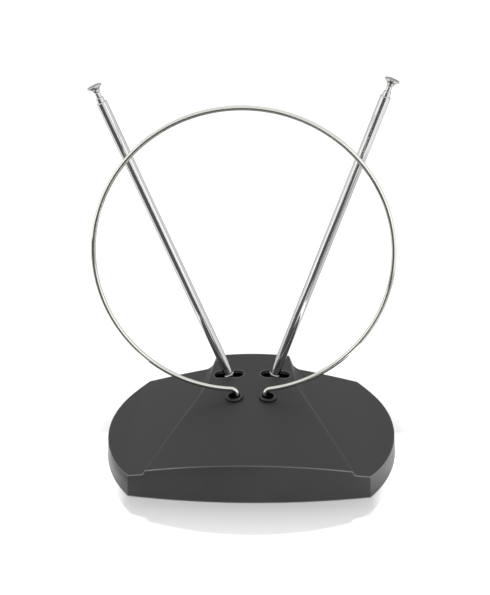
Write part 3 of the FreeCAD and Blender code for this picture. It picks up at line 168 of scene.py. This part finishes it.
def moulded_plastic(name, dark, light, highlight_colour, roughness, grain, gloss=0.4):
    """Spark-textured plastic: fine grain, faint mottling, and painted highlights on its edges.

    The painted highlight is stronger towards the rear, and on the front outline stronger towards
    its ends.
    """
    shader = Shader(name)
    shader.bsdf.inputs["Specular IOR Level"].default_value = gloss
    mottle = shader.noise(28.0, 4.0)
    fine = shader.noise(2600.0, 2.0)
    base = shader.mixed(shader.ranged(mottle, 0.35, 0.65, 0.0, 1.0), dark, light)
    speck = shader.mixed(shader.ranged(fine, 0.45, 0.75, 0.0, 0.5), base, light)
    place = shader.split(shader.coords)
    sideways = shader.math("ABSOLUTE", place["X"], 0.0)
    rearwards = shader.ranged(place["Y"], *CREASE_Y, *CREASE_HIGHLIGHT)
    outwards = shader.ranged(sideways, *OUTLINE_X, *OUTLINE_HIGHLIGHT)
    # Painted highlight: lighter colour on sharp creases, stronger towards the rear, and on the
    # round front outline, stronger towards its ends.
    creases = shader.math("MULTIPLY", shader.edges(HIGHLIGHT_WIDTH, HIGHLIGHT_GAIN), rearwards)
    outline = shader.math("MULTIPLY", shader.front_outline(), outwards)
    highlight_edge = shader.math("MAXIMUM", creases, outline)
    painted_highlight = shader.math("MULTIPLY", highlight_edge, shader.ranged(mottle, 0.3, 0.7, 0.6, 1.0))
    shader.colour(shader.mixed(painted_highlight, speck, highlight_colour))
    shader.roughness(shader.ranged(mottle, 0.3, 0.7, roughness - 0.05, roughness + 0.06))
    shader.bump(fine, grain, 0.00012)
    return shader.material


def bright_metal(name, light, dark, roughness, rim=0.8, marks=0.08):
    """Plated metal: slow haze, handling marks in the polish, and a faintly uneven skin."""
    shader = Shader(name, Metallic=1.0)
    shader.bsdf.inputs["Specular Tint"].default_value = (rim, rim, rim, 1.0)
    haze = shader.noise(24.0, 3.0)
    shader.colour(shader.mixed(shader.ranged(haze, 0.3, 0.7, 0.0, 1.0), light, dark))
    smears = shader.noise(160.0, 5.0, rough=0.7)
    shader.roughness(shader.ranged(smears, 0.5, 0.8, roughness, roughness + marks))
    shader.bump(shader.noise(90.0, 1.0), 0.03, 0.0001)
    return shader.material


def soft_rubber(name, base, dusty, roughness):
    """Rubber or a cable's jacket: cloudy bloom on a fine, matt skin."""
    shader = Shader(name)
    cloud = shader.noise(420.0, 4.0)
    fine = shader.noise(3800.0, 2.0)
    shader.colour(shader.mixed(shader.ranged(cloud, 0.45, 0.75, 0.0, 0.6), base, dusty))
    shader.roughness(shader.ranged(cloud, 0.3, 0.7, roughness - 0.06, roughness + 0.1))
    shader.bump(fine, 0.25, 0.00008)
    return shader.material


def plated_steel(name, light, dark, roughness):
    """Zinc-plated sheet: crystalline patches and edges rubbed bright."""
    shader = Shader(name, Metallic=1.0)
    patches = shader.node("ShaderNodeTexVoronoi")
    patches.inputs["Scale"].default_value = 900.0
    shader.link(shader.coords, patches.inputs["Vector"])
    cloud = shader.noise(240.0, 4.0)
    crystals = shader.ranged(patches.outputs["Distance"], 0.0, 0.8, 0.0, 1.0)
    spangle = shader.mixed(crystals, light, dark)
    shader.colour(shader.mixed(shader.edges(0.0003, 5.0), spangle, (0.72, 0.72, 0.71)))
    shader.roughness(shader.ranged(cloud, 0.3, 0.7, roughness - 0.08, roughness + 0.12))
    shader.bump(cloud, 0.15, 0.00005)
    return shader.material


# ------------------------------------------------------------------ materials of the CAD nodes

# The third colour of each moulded plastic is the painted highlight on its edges.
cover = moulded_plastic(
    "cover_plastic",
    (0.0175, 0.0178, 0.0186),
    (0.0225, 0.0228, 0.0236),
    (0.17, 0.17, 0.172),
    roughness=0.42,
    grain=0.35,
    gloss=0.36,
)
floor_plastic = moulded_plastic(
    "floor_plastic", (0.018, 0.018, 0.02), (0.028, 0.028, 0.03), (0.07, 0.07, 0.075), 0.55, 0.45
)
pad = soft_rubber("pad_rubber", (0.013, 0.013, 0.014), (0.05, 0.048, 0.045), 0.75)
grommet = soft_rubber("grommet_rubber", (0.004, 0.004, 0.0045), (0.012, 0.012, 0.012), 0.24)
chrome = bright_metal("tube_chrome", (0.64, 0.64, 0.635), (0.60, 0.60, 0.60), 0.05, 0.62)
wire = bright_metal("loop_wire", (0.74, 0.745, 0.69), (0.66, 0.665, 0.61), 0.08, 0.7)
knob = bright_metal("knob_chrome", (0.60, 0.595, 0.57), (0.52, 0.515, 0.49), 0.09, 0.6)
nickel = bright_metal("jack_nickel", (0.70, 0.67, 0.60), (0.56, 0.53, 0.47), 0.18)
brass = bright_metal("terminal_brass", (0.72, 0.52, 0.20), (0.55, 0.38, 0.14), 0.22)
bronze = bright_metal("sleeve_brass", (0.66, 0.47, 0.24), (0.50, 0.34, 0.17), 0.2)
knuckle = bright_metal("knuckle_brass", (0.68, 0.63, 0.52), (0.54, 0.50, 0.40), 0.2)
zinc = plated_steel("clevis_steel", (0.56, 0.56, 0.55), (0.40, 0.40, 0.41), 0.34)
screw = plated_steel("screw_steel", (0.60, 0.60, 0.58), (0.42, 0.42, 0.42), 0.3)
ballast = plated_steel("ballast_steel", (0.45, 0.45, 0.46), (0.30, 0.30, 0.31), 0.42)
board = moulded_plastic(
    "board_laminate", (0.27, 0.16, 0.05), (0.36, 0.23, 0.08), (0.5, 0.36, 0.16), 0.45, 0.2
)
ferrite = soft_rubber("ferrite", (0.02, 0.02, 0.022), (0.07, 0.065, 0.06), 0.6)
copper = bright_metal("winding_copper", (0.60, 0.22, 0.08), (0.42, 0.13, 0.05), 0.22)
insulator = moulded_plastic(
    "jack_insulator", (0.70, 0.69, 0.64), (0.78, 0.77, 0.73), (0.85, 0.85, 0.82), 0.4, 0.15
)
coax = soft_rubber("coax_lead", (0.012, 0.012, 0.012), (0.05, 0.05, 0.05), 0.5)
lead = soft_rubber("rod_lead", (0.30, 0.02, 0.015), (0.40, 0.06, 0.05), 0.45)

BY_NODE = {
    "top_cover": cover,
    "bottom_cover": floor_plastic,
    "rubber_pad": pad,
    "ballast_weight": ballast,
    "circuit_board": board,
    "balun_core": ferrite,
    "balun_winding": copper,
    "wire_loop": wire,
    "coax_jack": nickel,
    "jack_nut": nickel,
    "jack_washer": nickel,
    "jack_insulator": insulator,
    "jack_contact": brass,
    "jack_lead": coax,
}
BY_START = {
    "cover_screw": screw,
    "ballast_screw": screw,
    "board_screw": screw,
    "bracket_screw": screw,
    "set_screw": screw,
    "loop_grommet": grommet,
    "loop_terminal": brass,
    "rod_bracket": zinc,
    "pivot_pin": zinc,
    "spring_washer": zinc,
    "rod_lead": lead,
    "knuckle": knuckle,
    "outer_tube": chrome,
    "second_tube": chrome,
    "third_tube": chrome,
    "tip_rod": chrome,
    "second_sleeve": bronze,
    "third_sleeve": bronze,
    "tip_sleeve": bronze,
    "tip_knob": knob,
}

for name, node in NODES.items():
    material = BY_NODE.get(name) or next(
        made for start, made in BY_START.items() if name.startswith(start)
    )
    node.data.materials.clear()
    node.data.materials.append(material)
    for face in node.data.polygons:
        face.use_smooth = True


# ------------------------------------------------------------------ making objects

def placed(name, data):
    """A new object in the scene that carries this mesh, light or camera data."""
    made = bpy.data.objects.new(name, data)
    bpy.context.scene.collection.objects.link(made)
    return made


def closed_mesh(name, mesh, material):
    """Mesh data from a bmesh, with its normals outwards and one material."""
    bmesh.ops.recalc_face_normals(mesh, faces=mesh.faces)
    data = bpy.data.meshes.new(name)
    mesh.to_mesh(data)
    mesh.free()
    data.materials.append(material)
    return data


# Edges sharper than this many degrees stay sharp in the shading.
SHARP_CORNER = 38.0
SOFT_CORNER = 50.0


def ring(name, node, material, place, loop, segments):
    """A closed ring: loop(angle) gives its section as (radius, height), and place moves it."""
    mesh = bmesh.new()
    sections = []
    for step in range(segments):
        angle = 2 * math.pi * step / segments
        along, aside = math.cos(angle), math.sin(angle)
        sections.append([
            mesh.verts.new(place @ Vector((radius * along, radius * aside, height)))
            for radius, height in loop(angle)
        ])
    count = len(sections[0])
    for step, section in enumerate(sections):
        following = sections[(step + 1) % segments]
        for index in range(count):
            after = (index + 1) % count
            mesh.faces.new((section[index], section[after], following[after], following[index]))
    piece = placed(name, closed_mesh(name, mesh, material))
    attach(piece, "base")
    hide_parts(node)
    return piece


def smooth_by_angle(piece, degrees):
    """Smooth shading that keeps edges sharper than the angle."""
    data = bmesh.new()
    data.from_mesh(piece.data)
    for face in data.faces:
        face.smooth = True
    for edge in data.edges:
        edge.smooth = edge.calc_face_angle(0.0) < math.radians(degrees)
    data.to_mesh(piece.data)
    data.free()


# ------------------------------------------------------------------ the coaxial jack in detail

def on_jack_axis(node):
    """A frame whose +Z points out of the jack, starting at the node's inner end."""
    low, high = (Vector(corner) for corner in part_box(node))
    centre = (low + high) / 2
    columns = Matrix(((1, 0, 0), (0, 0, -1), (0, 1, 0))).transposed()
    return Matrix.Translation((centre.x, low.y, centre.z)) @ columns.to_4x4()


THREAD_RADIUS = 0.00476
THREAD_DEPTH = 0.00042
PITCH = 0.00079375
THREAD_START = 0.0079
THREAD_END = 0.01585
BARREL_END = 0.0162
FLANGE_RADIUS = 0.0066
FLANGE_DEPTH = 0.0022
NECK_RADIUS = 0.00455
BORE_RADIUS = 0.0034
EDGE = 0.00025
ROWS_PER_TURN = 8
GROOVE_SLOPE = 1.35
GROOVE_LAND = 0.15


def barrel_section(angle):
    """Flange, neck, screw thread and bore of the jack's barrel."""
    outside = [
        (BORE_RADIUS, EDGE),
        (BORE_RADIUS + EDGE, 0.0),
        (FLANGE_RADIUS - EDGE, 0.0),
        (FLANGE_RADIUS, EDGE),
        (FLANGE_RADIUS, FLANGE_DEPTH),
        (NECK_RADIUS, FLANGE_DEPTH),
        (NECK_RADIUS, THREAD_START - EDGE),
    ]
    rows = ROWS_PER_TURN * int((THREAD_END - THREAD_START) / PITCH)
    for row in range(rows + 1):
        depth = THREAD_START + (THREAD_END - THREAD_START) * row / rows
        turns = (depth - THREAD_START) / PITCH - angle / (2 * math.pi)
        wave = abs(2 * (turns % 1.0) - 1)
        groove = THREAD_DEPTH * min(1.0, max(0.0, GROOVE_SLOPE * wave - GROOVE_LAND))
        entry = THREAD_DEPTH * max(0.0, 1 - (THREAD_END - depth) / PITCH)
        outside.append((THREAD_RADIUS - max(groove, entry), depth))
    return outside + [
        (THREAD_RADIUS - THREAD_DEPTH - EDGE, BARREL_END),
        (BORE_RADIUS + EDGE, BARREL_END),
        (BORE_RADIUS, BARREL_END - EDGE),
    ]


NUT_FLATS = 0.0063
NUT_DEPTH = 0.0024
NUT_CHAMFER = 1.9
NUT_CLEARANCE = 0.00005
NUT_ROWS = 12


def nut_section(angle):
    """A hexagon nut whose corners are turned off towards both faces."""
    within = angle % (math.pi / 3)
    hexagon = NUT_FLATS / math.cos(within - math.pi / 6)
    outside = []
    for row in range(NUT_ROWS + 1):
        depth = NUT_DEPTH * row / NUT_ROWS
        nearest = min(depth, NUT_DEPTH - depth)
        outside.append((min(hexagon, NUT_FLATS - EDGE / 2 + NUT_CHAMFER * nearest), depth))
    hole = THREAD_RADIUS + NUT_CLEARANCE
    return outside + [
        (hole + EDGE, NUT_DEPTH),
        (hole, NUT_DEPTH - EDGE),
        (hole, EDGE),
        (hole + EDGE, 0.0),
    ]


WASHER_DEPTH = 0.0006
WASHER_THICKNESS = 0.00038
WASHER_BAND = 0.0008
TEETH = 12
TOOTH_SHARE = 0.62
TOOTH_TWIST = 0.00015
TOOTH_CLEARANCE = 0.0001
GAP_CLEARANCE = 0.0009


def washer_section(angle):
    """A lock washer with teeth inside its ring, each a little twisted."""
    phase = (angle * TEETH / (2 * math.pi)) % 1.0
    inner = THREAD_RADIUS + (TOOTH_CLEARANCE if phase < TOOTH_SHARE else GAP_CLEARANCE)
    twist = TOOTH_TWIST * (phase / TOOTH_SHARE - 0.5) if phase < TOOTH_SHARE else 0.0
    half = WASHER_THICKNESS / 2
    middle = WASHER_DEPTH / 2
    return [
        (inner, middle - half + twist),
        (FLANGE_RADIUS - WASHER_BAND, middle - half),
        (FLANGE_RADIUS, middle - half),
        (FLANGE_RADIUS, middle + half),
        (FLANGE_RADIUS - WASHER_BAND, middle + half),
        (inner, middle + half + twist),
    ]


for name, node, section, segments in (
    ("jack_barrel", "coax_jack", barrel_section, 64),
    ("jack_hex_nut", "jack_nut", nut_section, 96),
    ("jack_lock_washer", "jack_washer", washer_section, 144),
):
    place = on_jack_axis(node)
    made = ring(name, node, nickel, place, section, segments)
    smooth_by_angle(made, SHARP_CORNER)


# ------------------------------------------------------------------ the loop's two grommets

PANEL_RISE = math.radians(4.035)
PANEL_CROWN = 0.290
GROMMET_X = 0.011
GROMMET_BORE = 0.0039
GROMMET_HUB = 0.0048
GROMMET_FLANGE = 0.006
GROMMET_PROUD = 0.0016
GROMMET_LIFT = 0.00012
GROMMET_UNDER = -0.00244
GROMMET_LIP = 0.0012
GROMMET_FOOT = 0.0056
GROMMET_SEGMENTS = 72
ROUND_STEPS = 6


def quarter(radius, height, reach, start):
    """A quarter turn of the given reach about a point of the section, from start degrees on."""
    return [
        (
            radius + reach * math.cos(math.radians(start + 90 * step / ROUND_STEPS)),
            height + reach * math.sin(math.radians(start + 90 * step / ROUND_STEPS)),
        )
        for step in range(ROUND_STEPS + 1)
    ]


def grommet_section(_angle):
    """Soft rubber grommet: rounded flange above the panel, waist in its hole, lip below."""
    fat = 0.00062
    lip = 0.00045
    mouth = 0.00045
    low = GROMMET_UNDER - GROMMET_LIP
    return (
        quarter(GROMMET_FLANGE - fat, GROMMET_PROUD - fat, fat, 0.0)
        + quarter(GROMMET_BORE + mouth, GROMMET_PROUD - mouth, mouth, 90.0)
        + quarter(GROMMET_BORE + mouth, low + mouth, mouth, 180.0)
        + quarter(GROMMET_FOOT - lip, low + lip, lip, 270.0)
        + [
            (GROMMET_FOOT, GROMMET_UNDER),
            (GROMMET_HUB, GROMMET_UNDER),
            (GROMMET_HUB, GROMMET_LIFT),
            (GROMMET_FLANGE, GROMMET_LIFT),
        ]
    )


for side, sign in (("left", -1), ("right", 1)):
    node = "loop_grommet_" + side
    low, high = (Vector(corner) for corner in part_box(node))
    upward = Vector((sign * GROMMET_X / PANEL_CROWN, -math.sin(PANEL_RISE), math.cos(PANEL_RISE)))
    middle = (GROMMET_PROUD + GROMMET_UNDER - GROMMET_LIP) / 2
    turn = upward.to_track_quat("Z", "Y").to_matrix().to_4x4()
    place = Matrix.Translation((low + high) / 2) @ turn @ Matrix.Translation((0.0, 0.0, -middle))
    name = "grommet_soft_" + side
    made = ring(
        name, node, grommet, place, grommet_section, GROMMET_SEGMENTS
    )
    smooth_by_angle(made, SOFT_CORNER)


# ------------------------------------------------------------------ the loop's wire

WIRE_RADIUS = 0.00154
WIRE_SIDES = 32
LOOP_FOOT = (0.0, 0.00864, 0.03595)
LOOP_LEAN = math.radians(3.1)
LOOP_RADIUS = 0.0939
LOOP_CENTRE = Vector((-0.00385, 0.0927))
LOOP_SHRINK = {-1: 0.007, 1: 0.004}
LEG_X = 0.0093
LEG_END = -0.01995
LEG_BEND = 0.0038
ARC_STEP = math.radians(1.5)
FEWEST_STEPS = 4


def arc(centre, radius, start, end):
    """Points and directions along an arc, as (point, direction)."""
    steps = max(FEWEST_STEPS, round(abs(end - start) / ARC_STEP))
    way = math.copysign(1.0, end - start)
    for step in range(steps + 1):
        angle = start + (end - start) * step / steps
        outward = Vector((math.cos(angle), math.sin(angle)))
        yield centre + outward * radius, Vector((-outward.y, outward.x)) * way


def half_loop(sign):
    """From the top of the loop down one side: main circle, tighter quarter, bend and leg."""
    meeting = Vector((sign * math.sqrt(0.5), -math.sqrt(0.5)))
    shrink = LOOP_SHRINK[sign]
    centre = LOOP_CENTRE + meeting * shrink
    radius = LOOP_RADIUS - shrink
    across = centre.x - sign * (LEG_X + LEG_BEND)
    drop = math.sqrt((radius + LEG_BEND) ** 2 - across**2)
    corner = Vector((sign * (LEG_X + LEG_BEND), centre.y - drop))
    inward = math.atan2(centre.y - corner.y, centre.x - corner.x)
    outer = -math.pi / 4 if sign > 0 else 5 * math.pi / 4
    yield from arc(LOOP_CENTRE, LOOP_RADIUS, math.pi / 2, outer)
    last = inward - math.pi if sign > 0 else inward + math.pi
    yield from list(arc(centre, radius, outer, last))[1:]
    leg = math.pi if sign > 0 else 0.0
    yield from list(arc(corner, LEG_BEND, inward, leg))[1:]
    yield Vector((sign * LEG_X, LEG_END)), Vector((0.0, -1.0))


def loop_of_wire():
    """The whole bent wire, as one closed tube with capped ends."""
    falling = list(half_loop(-1))
    rising = list(half_loop(1))
    path = [(point, -heading) for point, heading in reversed(falling)] + rising[1:]
    place = Matrix.Translation(LOOP_FOOT) @ Matrix.Rotation(-LOOP_LEAN, 4, "X")
    mesh = bmesh.new()
    rings = []
    for point, heading in path:
        aside = Vector((-heading.y, heading.x))
        corners = []
        for step in range(WIRE_SIDES):
            angle = 2 * math.pi * step / WIRE_SIDES
            reach = point + aside * WIRE_RADIUS * math.cos(angle)
            corners.append(mesh.verts.new(
                place @ Vector((reach.x, WIRE_RADIUS * math.sin(angle), reach.y))
            ))
        rings.append(corners)
    for before, after in zip(rings, rings[1:]):
        for step in range(WIRE_SIDES):
            following = (step + 1) % WIRE_SIDES
            mesh.faces.new((before[step], before[following], after[following], after[step]))
    mesh.faces.new(rings[0])
    mesh.faces.new(rings[-1])
    piece = placed("loop_of_wire", closed_mesh("loop_of_wire", mesh, wire))
    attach(piece, "base")
    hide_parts("wire_loop")
    smooth_by_angle(piece, SOFT_CORNER)


loop_of_wire()


# ------------------------------------------------------------------ floor, light and camera

def staged(name, points, faces):
    """A flat object that isn't part of the antenna."""
    mesh = bpy.data.meshes.new(name)
    mesh.from_pydata(points, [], faces)
    made = placed(name, mesh)
    return made


def plane(name, width, depth):
    x, y = width / 2, depth / 2
    return staged(name, [(-x, -y, 0), (x, -y, 0), (x, y, 0), (-x, y, 0)], [(0, 1, 2, 3)])


def facing(place, target):
    """A matrix at a place whose -Z axis points at the target."""
    aim = Vector(target) - Vector(place)
    return Matrix.Translation(place) @ aim.to_track_quat("-Z", "Y").to_matrix().to_4x4()


FLOOR_SIDE = 8.0
FLOOR_GLOW = 0.34
STRIP_GLOW = 1.7
STRIP_STARTS_X = (0.075, 0.095)
STRIP_ENDS_X = (0.112, 0.124)
STRIP_ENDS_Y = (-0.005, 0.015)
MIRROR = 0.42
MIRROR_FRONT_Y = (-0.135, -0.068)
MIRROR_REAR_Y = (0.0, 0.06)
MIRROR_RADIUS = (0.102, 0.11)


def floor_material():
    """White table, almost shadowless: a weak mirror that fades out in front of the base, and
    brighter strips beside the base's ends, which light its end walls."""
    shader = Shader("floor", Base_Color=(0.8, 0.8, 0.8, 1.0), Roughness=0.7)
    shader.bsdf.inputs["Specular IOR Level"].default_value = 0.0
    shader.bsdf.inputs["Emission Color"].default_value = (1.0, 1.0, 1.0, 1.0)
    place = shader.split(shader.coords)
    sideways = shader.math("ABSOLUTE", place["X"], 0.0)
    ends = shader.ranged(sideways, *STRIP_STARTS_X, 0.0, STRIP_GLOW)
    nearby = shader.ranged(sideways, *STRIP_ENDS_X, 1.0, 0.0)
    not_behind = shader.ranged(place["Y"], *STRIP_ENDS_Y, 1.0, 0.0)
    strip = shader.math("MULTIPLY", shader.math("MULTIPLY", ends, nearby), not_behind)
    glow = shader.math("ADD", strip, FLOOR_GLOW)
    shader.link(glow, shader.bsdf.inputs["Emission Strength"])
    mirror = shader.node("ShaderNodeBsdfGlossy")
    mirror.inputs["Color"].default_value = (1.0, 1.0, 1.0, 1.0)
    mirror.inputs["Roughness"].default_value = 0.04
    nearer = shader.ranged(place["Y"], *MIRROR_FRONT_Y, 0.0, MIRROR)
    reach = shader.node("ShaderNodeVectorMath", operation="LENGTH")
    shader.link(shader.coords, reach.inputs[0])
    around = shader.ranged(reach.outputs["Value"], *MIRROR_RADIUS, 1.0, 0.0)
    in_front = shader.ranged(place["Y"], *MIRROR_REAR_Y, 1.0, 0.0)
    fade = shader.math("MULTIPLY", shader.math("MULTIPLY", nearer, around), in_front)
    mix = shader.node("ShaderNodeMixShader")
    shader.link(fade, mix.inputs["Fac"])
    shader.link(shader.bsdf.outputs["BSDF"], mix.inputs[1])
    shader.link(mirror.outputs["BSDF"], mix.inputs[2])
    shader.link(mix.outputs["Shader"], shader.output.inputs["Surface"])
    return shader.material


floor = plane("floor", FLOOR_SIDE, FLOOR_SIDE)
floor.data.materials.append(floor_material())


def only_in_gloss(card, brightness):
    """Make a card of even brightness that only the antenna's reflections show."""
    shader = Shader(card.name, Base_Color=(0.0, 0.0, 0.0, 1.0), Roughness=1.0)
    shader.bsdf.inputs["Specular IOR Level"].default_value = 0.0
    shader.bsdf.inputs["Emission Color"].default_value = (1.0, 1.0, 1.0, 1.0)
    shader.bsdf.inputs["Emission Strength"].default_value = brightness
    card.data.materials.append(shader.material)
    card.visible_camera = False
    card.visible_diffuse = False
    card.visible_shadow = False
    card.visible_transmission = False
    card.visible_volume_scatter = False


CARD_HEIGHT = 0.002
CARD_STEPS = 16
BLACK = 0.13


def sector(name, start, end, inner, outer, brightness):
    """A card lying round the antenna. Angles are in degrees from -Y towards +X."""
    points = []
    for step in range(CARD_STEPS + 1):
        angle = math.radians(start + (end - start) * step / CARD_STEPS)
        for reach in (inner, outer):
            points.append((reach * math.sin(angle), -reach * math.cos(angle), CARD_HEIGHT))
    faces = [(2 * n, 2 * n + 1, 2 * n + 3, 2 * n + 2) for n in range(CARD_STEPS)]
    only_in_gloss(staged(name, points, faces), brightness)


# Cards on the table: black ones in front and to the left, grey ones to the right, lighter
# towards the rear and farther out, a white one far to the left, and a grey one behind. A dark
# cloth hangs in front and a pale screen stands behind.
sector("card_front", -52.0, 22.0, 0.19, 1.4, BLACK)
sector("card_near_front", -50.0, 6.0, 0.114, 0.19, BLACK)
sector("card_near_left", -80.0, -50.0, 0.103, 0.8, BLACK)
sector("card_left", -76.0, -60.0, 0.8, 1.4, 1.7)
sector("card_right_low", 24.0, 46.0, 0.13, 0.36, 0.32)
sector("card_right_middle", 46.0, 75.0, 0.125, 0.36, 0.62)
sector("card_right_high", 75.0, 125.0, 0.12, 0.36, 0.95)
sector("card_right", 36.0, 125.0, 0.36, 1.3, 1.25)
sector("card_behind", 125.0, 235.0, 0.14, 1.4, 0.62)
cloth = plane("cloth", 1.3, 0.7)
cloth.matrix_world = facing((-0.45, -1.4, 0.3), (-0.2, 0.0, 0.3))
only_in_gloss(cloth, 0.10)
screen = plane("screen", 3.2, 0.9)
screen.matrix_world = facing((0.0, 1.5, 0.55), (0.0, 0.0, 0.1))
only_in_gloss(screen, 0.7)


def light(name, power, size, place, target):
    """A soft rectangular lamp, in watts, facing the target."""
    lamp = bpy.data.lights.new(name, "AREA")
    lamp.energy = power
    lamp.shape = "RECTANGLE"
    lamp.size, lamp.size_y = size
    made = placed(name, lamp)
    made.matrix_world = facing(place, target)
    return made


light("strip_left", 1.2, (0.5, 1.0), (-1.3, -0.35, 0.5), (0.0, 0.0, 0.12))
light("strip_right", 1.2, (0.5, 1.0), (1.1, -0.7, 0.5), (0.0, 0.0, 0.12))
low_front = light("low_front", 7.5, (1.2, 0.3), (0.0, -1.4, 0.14), (0.0, 0.0, 0.02))
low_front.visible_glossy = False

world = bpy.data.worlds.new("studio")
bpy.context.scene.world = world
world.use_nodes = True
world.node_tree.nodes["Background"].inputs["Color"].default_value = (1.0, 1.0, 1.0, 1.0)
world.node_tree.nodes["Background"].inputs["Strength"].default_value = 1.0

# The camera's place in metres, its three directions, and its lens and sensor in millimetres.
EYE = (0.01942, -0.5622, 0.37102)
AHEAD = Vector((-0.03534757, 0.90497886, -0.42398563))
ACROSS = Vector((0.999375, 0.03183802, -0.01536076))
UPWARD = Vector((0.000402, 0.424264, 0.905539))
FOCAL_LENGTH = 60.5
SENSOR_WIDTH = 36.0

lens = bpy.data.cameras.new("camera")
lens.sensor_width = SENSOR_WIDTH
lens.lens = FOCAL_LENGTH
camera = placed("camera", lens)
turn = Matrix((ACROSS, UPWARD, -AHEAD)).transposed().to_4x4()
camera.matrix_world = Matrix.Translation(EYE) @ turn
bpy.context.scene.camera = camera
bpy.context.scene.view_settings.view_transform = "Standard"
